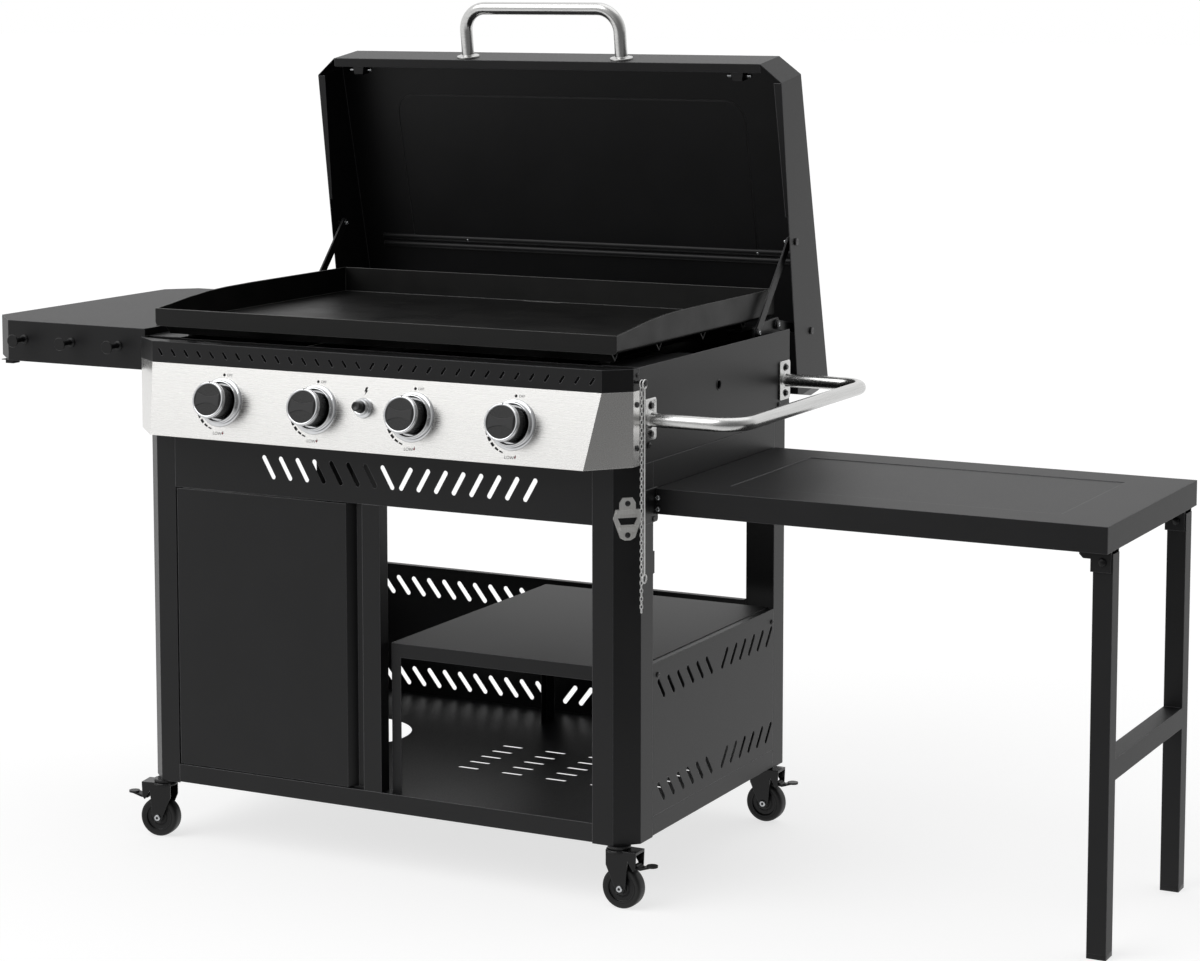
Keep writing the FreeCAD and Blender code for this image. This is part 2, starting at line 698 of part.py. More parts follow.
def gas_train():
    """Supply pipe with four valves, their jets and the threaded inlet."""
    pipe = rod(9, 660, (D["inlet_x"] - 12, 14, 722), "x")
    pieces = [pipe]
    for x in knob_places():
        valve = panel_rod(13, x, D["knob_z"], -52, 30)
        pieces.append(cut(valve, panel_rod(4.08, x, D["knob_z"], -44, 40)))
        pieces.append(rod(4, 76, (x, 4, 724)))
        pieces.append(rod(7, 12, (x, -2, 800), "y"))
    x, z = D["inlet_x"], D["inlet_z"]
    fitting = cut(rod(9, 15, (x, 14, z)), rod(D["inlet_r"], 12, (x, 14, z - 1)))
    node(group(fuse(*pieces), fitting), "gas_train")


def bezels():
    """Dished rings under the knobs and the igniter's collar."""
    made = []
    low = 0.1
    ring = [(14, low), (40, low), (40, 2), (37, 4), (35, 4), (34, 10), (31, 10), (31, 3), (14, 3)]
    for x in knob_places():
        dish = lathe(ring)
        place(dish, panel_point(x, D["knob_z"]), PANEL_TURN)
        made.append(dish)
    collar = lathe([(8.6, low), (16, low), (16, 4), (12.5, 5), (12.5, 14), (8.6, 14)])
    place(collar, panel_point(D["knob_mid"], D["knob_z"] + 8), PANEL_TURN)
    made.append(collar)
    node(group(*made), "knob_bezels")


def knob(index, x):
    """A valve stem, and the knob that turns on it."""
    stem = lathe([(0, -38), (4, -38), (4, 30), (0, 30)])
    node(stem, "valve_stem_%d" % index, panel_point(x, D["knob_z"]), PANEL_TURN)
    cap = lathe([(4.08, 9), (26, 9), (27.5, 12), (27.5, 31), (30, 33), (30, 38), (28, 40),
                 (26, 40), (25, 38.5), (0, 38.5), (0, 30.5), (4.08, 30.5)])
    node(cap, "knob_%d" % index, panel_point(x, D["knob_z"]), PANEL_TURN)


def igniter():
    button = lathe([(0, -10), (6, -10), (6, 5.5), (8.2, 5.5), (8.2, 24), (7.2, 26), (0, 26)])
    node(button, "igniter_button", panel_point(D["knob_mid"], D["knob_z"] + 8), PANEL_TURN)


# Lid: drawn closed in its own frame, then placed open

LID_TURN = FreeCAD.Rotation(Vec(1, 0, 0), -D["lid_lean"].value)
LID_AT = (size(0), D["lid_y"], D["lid_z"])


def lid_solid(t):
    """A lid-shaped block, drawn in from the lid's faces by t on every side but the rim."""
    a, b = D["lid_bevel_x"], D["lid_bevel_y"]
    c, d = D["lid_back_x"], D["lid_back_y"]
    deep = D["lid_d"]
    k = t * 0.45
    plan = [(a + k, t), (W - a - k, t), (W - t, b + k), (W - t, deep - d - k),
            (W - c - k, deep - t), (c + k, deep - t), (t, deep - d - k), (t, b + k)]
    high = prism("xy", plan, 0, D["lid_rear"])
    profile = [(-1, -1), (deep + 1, -1), (deep + 1, D["lid_rear"] - t), (-1, D["lid_front"] - t)]
    return common(high, prism("yz", profile, -1, W + 1))


def lid_shell():
    """Shallow sheet box, higher at the rear, with lips round its rim and a vent below its rear wall."""
    deep = D["lid_d"]
    heel = prism("yz", [(deep - D["heel_in"], -1), (deep + 1, -1), (deep + 1, D["heel"]), (deep, D["heel"]),
                        (deep - D["heel_in"], 0)], -1, W + 1)
    shell = cut(lid_solid(size(0)), lid_solid(T), heel)
    rim = D["rim"]
    a, b = D["lid_bevel_x"], D["lid_bevel_y"]
    lips = [box(a, W - a, T, rim + T, 0, T),
            prism("xy", [(T, b + 1), (rim, b + 1), (6, 260), (T, 260)], 0, T),
            prism("xy", [(W - T, b + 1), (W - rim, b + 1), (W - 6, 260), (W - T, 260)], 0, T)]
    lean = math.degrees(math.atan2(D["lid_rear"].value - D["lid_front"].value, D["lid_d"].value))
    inside = FreeCAD.Rotation(Vec(1, 0, 0), lean)
    under = D["lid_front"] - T
    ridges = []
    for along in (352, 366):
        ridge = doc.addObject("Part::Box", "ridge")
        bind(ridge, "Length", W - 120)
        bind(ridge, "Width", 4)
        bind(ridge, "Height", 2.5)
        rise = along * math.tan(math.radians(lean))
        place(ridge, (60, size(along), under + rise - 2), inside)
        ridges.append(ridge)
    node(fuse(shell, *lips, *ridges), "lid_shell", LID_AT, LID_TURN)


def lid_handle():
    """Bent tube handle with round feet on the lid's front face."""
    x1 = D["grip_mid"] - D["grip_half"]
    x2 = D["grip_mid"] + D["grip_half"]
    up = 27
    route = [(x1, -4), (x1, -D["grip_out"]), (x2, -D["grip_out"]), (x2, -4)]
    tube = bent_tube("xy", up, route, D["tube_r"], D["tube_wall"], D["bend"])
    feet = [rod(20, 4, (x, -4, up), "y") for x in (x1, x2)]
    node(fuse(tube, *feet), "lid_handle", LID_AT, LID_TURN)


def bar(x1, start, end, half, hole):
    """A flat bar with round ends and two holes, lying in a plane of constant x."""
    y1, z1 = size(start[0]), size(start[1])
    y2, z2 = size(end[0]), size(end[1])
    ply = D["bar_ply"]
    along = Vec(0, y2.value - y1.value, z2.value - z1.value)
    blade = doc.addObject("Part::Box", "blade")
    bind(blade, "Length", ply)
    blade.Width = along.Length
    bind(blade, "Height", half * 2)
    tilt = math.degrees(math.atan2(along.z, along.y))
    low = FreeCAD.Rotation(Vec(1, 0, 0), tilt).multVec(Vec(0, 0, -size(half).value))
    place(blade, (x1, y1 + low.y, z1 + low.z), FreeCAD.Rotation(Vec(1, 0, 0), tilt))
    ends = [rod(half, ply, (x1, y, z), "x") for y, z in ((y1, z1), (y2, z2))]
    holes = [rod(hole, ply + 4, (size(x1) - 2, y, z), "x") for y, z in ((y1, z1), (y2, z2))]
    return cut(fuse(blade, *ends), *holes)


def on_lid(y, z):
    """The cart-frame place of a point given in the lid's frame, lid open."""
    a = math.radians(D["lid_lean"].value)
    return (D["lid_y"] + y * math.cos(a) + z * math.sin(a), D["lid_z"] - y * math.sin(a) + z * math.cos(a))


def lid_linkage():
    """On each side: a bracket on the body, a short rear link and a long front stay."""
    half, hole = D["bar_half"], D["pivot_r"] + 0.08
    ply, clear = D["bar_ply"], D["bar_in"]
    stay_at, link_at = (D["stay_y"], D["stay_z"]), (D["link_y"], D["link_z"])
    stay_end = on_lid(D["stay_on_y"], D["stay_on_z"])
    link_end = on_lid(D["link_on_y"], D["link_on_z"])
    brackets, stays, links = [], [], []
    for right in (False, True):
        bar_x = W - clear - ply if right else clear
        wall_x = W - clear - ply - 0.5 - 4 if right else clear + ply + 0.5
        pin_x = wall_x if right else clear - 0.5
        side_y = [(482, 800), (590, 800), (590, 852), (580, 862), (560, 862), (500, 858), (482, 852)]
        plate = prism("yz", side_y, wall_x, wall_x + 4)
        foot_x = (wall_x + 4, W - T) if right else (T, wall_x)
        foot = box(foot_x[0], foot_x[1], 490, 588, 800, 806)
        pins = [rod(D["pivot_r"], 8.5, (pin_x, y, z), "x") for y, z in (stay_at, link_at)]
        brackets.append(fuse(plate, foot, *pins))
        stays.append(bar(bar_x, stay_at, stay_end, half, hole))
        links.append(bar(bar_x, link_at, link_end, half, hole))
    node(group(*brackets), "lid_brackets")
    node(group(*stays), "lid_stays")
    node(group(*links), "lid_links")


def lid_fittings():
    """Two catches inside the lid's front rim, and the pivot bolts through its sides."""
    made = []
    rim = D["rim"] + T
    for x in (85, 829):
        block = box(x - 9, x + 9, rim, rim + 14, 4, 24)
        strap = box(x - 9, x + 9, T, rim, 4, 7)
        pin = rod(2.5, 44, (x - 22, rim + 7, 12), "x")
        made.append(fuse(block, strap, pin))
    # the links turn on the rear bolts, and the stays end just short of the front ones
    ply, clear = D["bar_ply"], D["bar_in"]
    for y, z, reach in ((D["link_on_y"], D["link_on_z"], clear + ply + 1),
                        (D["stay_on_y"], D["stay_on_z"], clear - 1)):
        for right in (False, True):
            start = W - reach if right else size(T)
            made.append(fuse(rod(D["pivot_r"], size(reach) - T, (start, y, z), "x"),
                             rod(5.5, 1.5, (W - T - 1.5 if right else T, y, z), "x")))
            made.append(rod(6, 3, (W if right else size(-3), y, z), "x"))
    node(group(*made), "lid_fittings", LID_AT, LID_TURN)


# Casters: each turned about its post's corner

def caster_places():
    """Swivel places and the way each caster points, in degrees from the x axis."""
    x = D["caster_in_x"]
    front, rear = D["caster_front"], D["caster_rear"]
    return [
        ("front_left", x, front, 190.0),
        ("front_right", W - x, front, 0.0),
        ("rear_left", x, rear, 150.0),
        ("rear_right", W - x, rear, 0.0),
    ]


def caster_mounts():
    """Corner plates in the posts with the swivel pins and their bearing discs."""
    made = []
    low = D["post_low"]
    k = D["bevel"] + T * math.tan(math.radians(22.5))
    for name, x, y, angle in caster_places():
        right, rear = "right" in name, "rear" in name
        plan = [(k, T), (66, T), (66, 72), (T, 72), (T, k)]
        if right:
            plan = [(W - a, b) for a, b in plan]
        if rear:
            plan = [(a, DEPTH - b) for a, b in plan]
        plate = prism("xy", plan, low, low + 3)
        # disc, pin and its nut, as z below the plate
        made.append(fuse(plate, rod(18, 5, (x, y, low - 5)), rod(4, 16, (x, y, low - 16)),
                         rod(8, 4, (x, y, low - 17))))
    node(group(*made), "caster_mounts")


def caster(name, x, y, angle):
    """Fork, wheel and brake lever of one caster, standing on the floor."""
    trail, r = D["trail"], D["wheel_r"]
    turn = FreeCAD.Rotation(Vec(0, 0, 1), angle)
    at = (x, y, -D["shift_z"])
    gap = D["wheel_w"] / 2 + 1.5
    ply = 2
    top = D["post_low"] + D["shift_z"] - 5.5
    crown = cut(fuse(rod(20, 4, (0, 0, top - 4)), box(-16, 36, -gap - ply, gap + ply, top - 4, top)),
                rod(4.08, 10, (0, 0, top - 7)))
    cheek = [(-16, top - 4), (22, top - 4), (trail + 10, r + 4), (trail + 6, r - 8), (trail - 6, r - 8),
             (trail - 10, r + 4), (-16, top - 24)]
    cover = [(22, top - 4), (36, top - 4), (35, top - 26), (31, top - 30), (20, top - 12)]
    sides = []
    for low, high in ((-gap - ply, -gap), (gap, gap + ply)):
        sides.append(prism("xz", cheek, low, high))
        sides.append(prism("xz", cover, low, high))
    axle = rod(D["axle_r"], gap * 2 + 7, (trail, -gap - 3.5, r), "y")
    caps = [rod(6, 1.5, (trail, -gap - 3.5, r), "y"), rod(6, 1.5, (trail, gap + ply, r), "y")]
    pin_z = top - 25
    lever_pin = rod(2, gap * 2 + 2, (31, -gap - 1, pin_z), "y")
    node(fuse(crown, *sides, axle, *caps, lever_pin), "caster_fork_" + name, at, turn)
    half = D["wheel_w"] / 2
    bore = D["axle_r"] + 0.08
    low_side = [(bore, -half), (10, -half), (11, 4 - half), (22, 4 - half), (24, -half),
                (r - 3, -half), (r, 3 - half)]
    tread = low_side + [(radius, -z) for radius, z in reversed(low_side)]
    wheel = lathe(tread)
    place(wheel, (trail, 0, r), TURNS["y"])
    node(group(wheel), "caster_wheel_" + name, at, turn)
    # the lever's blade leaves its hub outward and slightly up
    hub = rod(4.5, 16, (31, -8, pin_z), "y")
    profile = [(33, pin_z - 3), (40, pin_z - 4), (58, pin_z + 2), (58, pin_z + 5),
               (40, pin_z), (33, pin_z + 3)]
    blade = prism("xz", profile, -8, 8)
    tip = rod(9, 3, (57, 0, pin_z + 2))
    bored = rod(2.08, 20, (31, -10, pin_z), "y")
    node(cut(fuse(hub, blade, tip), bored), "caster_brake_" + name, at, turn)


# Handle, opener, shelf, table and small hanging pieces

def side_handle():
    """Towel-bar handle on two bolted flanges."""
    z = D["handle_z"]
    out = W + D["handle_out"]
    y1, y2 = D["handle_y1"], D["handle_y2"]
    route = [(W + 2, y1), (out, y1), (out, y2), (W + 2, y2)]
    tube = bent_tube("xy", z, route, D["tube_r"], D["tube_wall"], D["handle_bend"])
    pieces = [tube]
    for y in (y1, y2):
        pieces.append(box(W, W + 3, y - 21, y + 21, z - 33, z + 33))
        for dz in (-24, 24):
            pieces.append(rod(5, 1.2, (W + 3, y, z + dz), "x"))
    node(fuse(*pieces), "side_handle")


def bottle_opener():
    """Cast opener bolted to the post's bevelled face."""
    tab = prism("xz", [(-13, 0), (13, 0), (13, 10), (8, 18), (-8, 18), (-13, 10)], -3, 0)
    face = [(-19, 0), (-23, -14), (-12, -44), (-5, -48), (5, -48), (12, -44), (23, -14), (19, 0)]
    plate = prism("xz", face, -3, 0)
    hood = prism("xz", [(-19, -6), (-19, 0), (19, 0), (19, -6)], -8, -3)
    lip = prism("xz", [(-11, -34), (-14, -27), (14, -27), (11, -34)], -7, -3)
    mouth = prism("xz", [(-11, -24), (-16, -13), (16, -13), (11, -24)], -12, 2)
    holes = [rod(3, 8, (0, -5, 9), "y"), rod(3, 8, (0, -5, -40), "y")]
    made = cut(fuse(tab, plate, hood, lip), mouth, *holes)
    b = D["bevel"] / 2
    node(made, "bottle_opener", (W - b, b, size(623)), FreeCAD.Rotation(Vec(0, 0, 1), 45))


def left_shelf():
    """Side shelf: a shallow pan turned upside down, with bevelled outer corners and two bolting strips."""
    w, y1 = D["left_w"], D["left_y"]
    y2 = y1 + D["left_d"]
    c, e = D["left_bevel"], D["left_bevel_rear"]
    low, top, gap = D["left_low"], D["left_top"], D["left_gap"]

    def plan(t):
        k = t * math.tan(math.radians(22.5))
        return [(-gap - t, y1 + t), (c - w + k, y1 + t), (t - w, y1 + c + k), (t - w, y2 - e - k),
                (e - w + k, y2 - t), (-gap - t, y2 - t)]

    shell = cut(prism("xy", plan(size(0)), low, top), prism("xy", plan(T), low - 1, top - T))
    pieces = [shell, box(c - w - 16, c - w, y1 + 12, y1 + 30, low - 7, low),
              box(c - w - 16, c - w, y1 + T, y1 + 30, low, low + T)]
    for y in (y1 + 30, y2 - 100):
        pieces.append(box(-gap, 0, y, y + 70, low, D["body_top"]))
    node(fuse(*pieces), "left_shelf")


def shelf_hooks():
    """Three pegs with round end tabs along the shelf's front."""
    made = []
    y, z = D["left_y"], D["hook_z"]
    reach, tab_thick = 30, 3
    for x in (-250, -152, -55):
        stem = rod(4, reach, (x, y - reach, z), "y")
        tab = rod(11, tab_thick, (x, y - reach - tab_thick, z), "y")
        made.append(fuse(stem, tab))
    node(group(*made), "shelf_hooks")


def table_top():
    """Table pan with a shallow sunk field in its top, and end hooks on the cart's post side."""
    x1 = D["table_x"]
    x2 = x1 + D["table_w"]
    y1 = D["table_y"]
    y2 = y1 + D["table_d"]
    low, top = D["table_low"], D["table_top"]
    outer = box(x1, x2, y1, y2, low, top)
    inner = box(x1 + T, x2 - T, y1 + T, y2 - T, low - 1, top - 3)
    field = box(x1 + 94, x2 - 94, y1 + 71, y2 - 71, top - 1, top + 5)
    screws = [rod(3.5, 3, (x1 + 4, y1 - 2, z), "y") for z in (633, 615)]
    node(fuse(cut(outer, inner, field), *screws), "table_top")


def table_leg_places():
    y1 = D["table_y"] + D["leg_in_y"]
    return y1, D["table_y"] + D["table_d"] - D["leg_in_y"] - D["leg_w"]


def leg_ears():
    """Pairs of ears under the table that the legs turn between."""
    made = []
    x2 = D["table_x"] + D["table_w"]
    w = D["leg_w"]
    top = D["table_top"] - 3
    pivot = x2 - w / 2
    for y in table_leg_places():
        for side_y in (y - 3.5, y + w + 0.5):
            face = [(x2 - T - 0.5, top), (x2 - 50, top), (x2 - 50, 600), (x2 - 44, 594), (x2 - 33, 594),
                    (x2 - 33, 575), (x2 - T - 0.5, 575)]
            ear = prism("xz", face, side_y, side_y + 3)
            made.append(cut(ear, rod(4.08, 12, (pivot, side_y - 4, D["leg_pivot"]), "y")))
    node(group(*made), "table_leg_ears")


def leg_frame():
    """Two square tube legs with a brace between them, closed feet and pivot pins."""
    x2 = D["table_x"] + D["table_w"]
    w, t = D["leg_w"], D["tube_wall"]
    y1, y2 = table_leg_places()
    foot, head = -D["shift_z"], D["leg_head"]
    pieces = []
    hollows = []
    for y in (y1, y2):
        pieces.append(box(x2 - w, x2, y, y + w, foot, head))
        hollows.append(box(x2 - w + t, x2 - t, y + t, y + w - t, foot + 12, head + 5))
    brace = D["brace_low"]
    pieces.append(box(x2 - w, x2, y1 + w, y2, brace, brace + w + 2))
    hollows.append(box(x2 - w + t, x2 - t, y1 + w - t - 1, y2 + t + 1, brace + t, brace + w + 2 - t))
    frame = cut(fuse(*pieces), *hollows)
    pins = [rod(4, w + 9, (x2 - w / 2, y - 4.5, D["leg_pivot"]), "y") for y in (y1, y2)]
    node(fuse(frame, *pins), "table_leg_frame")


def chain_link(z, turned):
    """One oval link, made of two half rings and two straight runs."""
    r = D["wire_r"].value
    reach = D["link_wide"].value / 2 - r
    half = D["link_long"].value / 2 - r - reach
    upper = Part.makeTorus(reach, r, Vec(0, 0, half), Vec(0, 1, 0), 0, 360, 360)
    lower = Part.makeTorus(reach, r, Vec(0, 0, -half), Vec(0, 1, 0), 0, 360, 360)
    above = Part.makeBox(20, 20, 20, Vec(-10, -10, half))
    below = Part.makeBox(20, 20, 20, Vec(-10, -10, -half - 20))
    runs = [Part.makeCylinder(r, 2 * half, Vec(x, 0, -half)) for x in (-reach, reach)]
    link = upper.common(above).fuse([lower.common(below)] + runs).removeSplitter()
    if turned:
        link.rotate(Vec(0, 0, 0), Vec(0, 0, 1), 90)
    link.translate(Vec(0, 0, z))
    return link


def hanging_set():
    """The chain below its ring, and the thin lighting rod beside it."""
    step = D["link_step"].value
    ring = Part.makeTorus(6.2, 1.0, Vec(0, 0, -2.4), Vec(1, 0, 0), 0, 360, 360)
    links = [ring]
    for i in range(int(D["link_count"].value)):
        links.append(chain_link(-12.4 - i * step, i % 2 == 0))
    chain = doc.addObject("Part::Feature", "chain")
    chain.Shape = Part.makeCompound(links)
    at = (D["chain_x"], D["ring_y"], D["ring_z"])
    node(chain, "match_chain", at)
    # the rod hangs from an eye on the same stud, and ends in another
    x, y, z = D["chain_x"] + 5.3, D["ring_y"], D["ring_z"]
    wire, loop = D["rod_r"], D["rod_loop"]
    upper = z + 2.8 + wire - loop
    lower = upper - D["rod_long"]
    pieces = [rod(wire, D["rod_long"] - loop * 2, (x, y, lower + loop))]
    for height in (upper, lower):
        eye = doc.addObject("Part::Torus", "eye")
        bind(eye, "Radius1", loop)
        bind(eye, "Radius2", wire)
        place(eye, (x, y, height), FreeCAD.Rotation(Vec(1, 1, 1), 120))
        pieces.append(eye)
    node(fuse(*pieces), "lighting_rod")


def grease_cup():
    """Grease drawer: a cup with side rims that slide on the runners, drawn out to the rear."""
    mid, rear = D["cup_x"], D["body_d"]
    wide, rim = 43, 50
    top = D["cup_top"]
    low = top - 48
    outer = box(mid - wide, mid + wide, 500, rear, low, top)
    inner = box(mid - wide + T, mid + wide - T, 500 + T, rear - T, low + T, top + 5)
    rims = [box(mid - rim - 6, mid - wide, 500, rear, top - 2, top),
            box(mid + wide, mid + rim + 6, 500, rear, top - 2, top)]
    node(fuse(cut(outer, inner), *rims), "grease_cup")


for label, right, rear in (("post_front_left", False, False), ("post_front_right", True, False),
                           ("post_rear_left", False, True), ("post_rear_right", True, True)):
    post(label, right, rear)
front_rail()
floor_pan()
side_panel("side_panel_left", False)
side_panel("side_panel_right", True)
back_panel()
door_jamb()
fascia()
top_rails()
tank_shelf()
cabinet_door()
burner_box()
front_trim()
control_panel()
griddle_plate()
burner_tubes()
gas_train()
bezels()
for number, across in enumerate(knob_places(), start=1):
    knob(number, across)
igniter()
lid_shell()
lid_handle()
lid_linkage()
lid_fittings()
caster_mounts()
for corner in caster_places():
    caster(*corner)
side_handle()
bottle_opener()
left_shelf()
shelf_hooks()
table_top()
leg_ears()
leg_frame()
hanging_set()
grease_cup()

doc.recompute()
for obj in doc.Objects:
    if "Invalid" in obj.State or "Error" in obj.State:
        raise RuntimeError("%s failed: %s" % (obj.Label, obj.State))
whole = FreeCAD.BoundBox()
for obj in nodes:
    if obj.Shape.isNull() or not obj.Shape.isValid():
        raise RuntimeError(obj.Label + " has no valid shape")
    whole.add(obj.Shape.BoundBox)
    obj.Shape.exportStep("parts/%s.step" % obj.Label)
    print("%-28s solids %2d volume %10.0f" % (obj.Label, len(obj.Shape.Solids), obj.Shape.Volume))
print("sub-parts", len(nodes))
print("box", [round(v, 2) for v in (whole.XMin, whole.XMax, whole.YMin, whole.YMax, whole.ZMin, whole.ZMax)])
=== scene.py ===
import math

import bmesh
import bpy
from mathutils import Matrix, Vector


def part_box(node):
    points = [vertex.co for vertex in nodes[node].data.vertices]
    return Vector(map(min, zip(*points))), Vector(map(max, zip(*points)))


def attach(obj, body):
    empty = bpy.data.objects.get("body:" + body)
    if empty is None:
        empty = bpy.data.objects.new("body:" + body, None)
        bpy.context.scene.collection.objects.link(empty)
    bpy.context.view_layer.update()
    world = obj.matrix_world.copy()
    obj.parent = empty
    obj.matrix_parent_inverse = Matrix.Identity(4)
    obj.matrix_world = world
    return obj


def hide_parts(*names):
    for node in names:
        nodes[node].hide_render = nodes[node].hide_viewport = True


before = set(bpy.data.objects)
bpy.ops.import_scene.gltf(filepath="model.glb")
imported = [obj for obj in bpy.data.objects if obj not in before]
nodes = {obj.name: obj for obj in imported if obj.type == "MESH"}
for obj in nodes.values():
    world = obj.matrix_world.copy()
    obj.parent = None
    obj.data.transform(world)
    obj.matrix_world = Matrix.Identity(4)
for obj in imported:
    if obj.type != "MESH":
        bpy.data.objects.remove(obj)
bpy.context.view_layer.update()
BODY_MM = 910            # the body's width and the cart's, from left wall to right wall
SHEET_MM = 1.2

# Cart: four folded corner posts with rails, pans and slotted panels between them.
# Mild steel sheet, laser cut, folded, then powder coated satin black and baked.
# Places below are millimetres from the cart's front left corner at the floor.

POST_FOOT = 96
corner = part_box("post_front_left")[0] - Vector((0, 0, POST_FOOT / 1000))


def linear(code):
    """An sRGB hex colour as linear values."""
    channels = [int(code[i:i + 2], 16) / 255 for i in (1, 3, 5)]
    return [c / 12.92 if c <= 0.04045 else ((c + 0.055) / 1.055) ** 2.4 for c in channels] + [1.0]


def add(tree, kind, wires=None, **settings):
    """Adds a shader node with its settings, and its inputs as values or links."""
    made = tree.nodes.new("ShaderNode" + kind)
    for setting, value in settings.items():
        setattr(made, setting, value)
    for socket, value in (wires or {}).items():
        if isinstance(value, bpy.types.NodeSocket):
            tree.links.new(value, made.inputs[socket])
        else:
            made.inputs[socket].default_value = value
    return made


def new_material(name):
    """An empty material, and its node tree."""
    material = bpy.data.materials.new(name)
    material.use_nodes = True
    material.node_tree.nodes.clear()
    return material, material.node_tree


def finish_material(tree, **inputs):
    """Ends a material in one shader; an underscore in an input's name stands for a space."""
    wires = {name.replace("_", " "): value for name, value in inputs.items()}
    shader = add(tree, "BsdfPrincipled", wires)
    add(tree, "OutputMaterial", {"Surface": shader.outputs[0]})


def dress(material, *names):
    """Gives CAD nodes a material."""
    for name in names:
        mesh = nodes[name].data
        mesh.materials.clear()
        mesh.materials.append(material)
        for face in mesh.polygons:
            face.material_index = 0


def grain_of(tree, millimetres, detail=2.0):
    """Noise whose features are about a size in millimetres, fixed to the piece."""
    place = add(tree, "TexCoord").outputs["Object"]
    noise = add(tree, "TexNoise", {"Vector": place, "Scale": 1000 / millimetres, "Detail": detail})
    return noise.outputs["Fac"]


def spread(tree, value, low, high, start=0.3, end=0.7):
    """Maps a span of values to another."""
    limits = {"Value": value, "From Min": start, "From Max": end, "To Min": low, "To Max": high}
    return add(tree, "MapRange", limits).outputs[0]


def blended(tree, share, one, two):
    """A colour between two, by a share."""
    return add(tree, "Mix", {"Factor": share, "A": one, "B": two}, data_type="RGBA").outputs["Result"]


def soft_edges(tree, millimetres):
    """A surface direction that is rounded at the edges, and how near the edge a point is."""
    rounded_off = add(tree, "Bevel", {"Radius": millimetres / 1000}, samples=6).outputs[0]
    flat = add(tree, "NewGeometry").outputs["Normal"]
    same = add(tree, "VectorMath", {0: rounded_off, 1: flat}, operation="DOT_PRODUCT").outputs["Value"]
    return rounded_off, spread(tree, same, 1.0, 0.0, 0.80, 0.99)


def powder_coat(name, colour, cloudy, edge_highlight, rough, peel_mm):
    """A thick baked film: faintly clouded, with orange peel, and a painted highlight along folds and edges.
    """
    material, tree = new_material(name)
    tint = blended(tree, spread(tree, grain_of(tree, 90), 0.0, 1.0), linear(colour), linear(cloudy))
    rounded_off, near_edge = soft_edges(tree, 1.7)
    peel = grain_of(tree, peel_mm)
    bumped = add(tree, "Bump", {"Height": peel, "Strength": 0.1, "Distance": 0.0004, "Normal": rounded_off})
    # the edge colour is a painted highlight, blended in near folds and edges
    finish_material(tree, Base_Color=blended(tree, near_edge, tint, linear(edge_highlight)), IOR=1.5,
                    Normal=bumped.outputs[0], Roughness=spread(tree, peel, rough - 0.03, rough + 0.04),
                    Specular_IOR_Level=0.28)
    return material


# The coat gives a deep neutral black with a broad soft sheen; real peel is 0.5 mm
# across, drawn at 2.5 mm so that it shows as a slight unevenness.
# the third colour, #747476, is a painted highlight along the edges
satin_coat = powder_coat("satin_powder_coated_steel", "#171718", "#1b1b1c", "#747476", 0.40, 2.5)
dress(satin_coat, "post_front_left", "post_front_right", "post_rear_left", "post_rear_right",
      "rail_front_bottom", "floor_pan", "side_panel_left", "side_panel_right", "back_panel", "fascia_beam",
      "top_rails")

# Casters: pressed fork on a ball race, moulded wheel with a rubber tyre, and a foot
# brake. The fork is dipped in gloss black enamel, the tyre is vulcanised rubber, the
# hub glass-filled nylon, and the axle is a hollow zinc-plated rivet.

LIFT_MM = -2.5           # the floor, from the cart's own zero
SWIVELS = {
    "front_left": (28, 14, 190),
    "front_right": (BODY_MM - 28, 14, 0),
    "rear_left": (28, 556, 150),
    "rear_right": (BODY_MM - 28, 556, 0),
}
WHEEL_R = 33
TRAIL = 8
CHEEK = 15.5             # from the wheel's middle to the fork's outer face

# outlines that are turned about an axle or a swivel: radius, then height along it
TREAD = [(24, 11.0), (27, 11.6), (29.6, 11.7), (31.4, 10.8), (32.6, 8.6), (WHEEL_R, 4.5)]
HUB_SIDE = [(4.3, 12), (8.5, 12), (9.4, 11.5), (9.8, 9), (12.5, 8.4), (13.2, 9.2), (14.2, 9.2),
            (14.9, 8.4), (20.2, 8.4), (21, 9), (21.4, 11), (22.2, 11.5), (24.1, 11.5)]
RIVET_HEAD = [(2.1, CHEEK + 1.6), (2.3, CHEEK + 2.3), (3.4, CHEEK + 2.6), (4.6, CHEEK + 2.2),
              (5.1, CHEEK + 1.5)]
RACE_TOP = POST_FOOT - LIFT_MM - 5.4
RACE = [(15, RACE_TOP - 0.2), (19.4, RACE_TOP - 0.2), (20.6, RACE_TOP - 1.2), (21, RACE_TOP - 2.6),
        (20.6, RACE_TOP - 4), (19.4, RACE_TOP - 4.8), (16, RACE_TOP - 5)]
SWIVEL_CUP = [(8, 95.6), (17.4, 95.6), (18.4, 94.8), (18.7, 93.4), (18.2, 91.9), (17, 91.3), (9, 91.3)]


def facing(outward, up=(0, 0, 1)):
    """A turn whose z axis points outward and whose y axis leans towards up."""
    z = Vector(outward).normalized()
    x = Vector(up).cross(z).normalized()
    return Matrix((x, z.cross(x), z)).transposed()


def where(x, y, z, turn=None):
    """The place of a drawing: its origin in the cart's millimetres, and its turn."""
    return Matrix.Translation((x, y, z)) @ (turn or Matrix.Identity(3)).to_4x4()


HERE = where(0, 0, 0)
FRONT, RIGHT, LEFT = facing((0, -1, 0)), facing((1, 0, 0)), facing((-1, 0, 0))


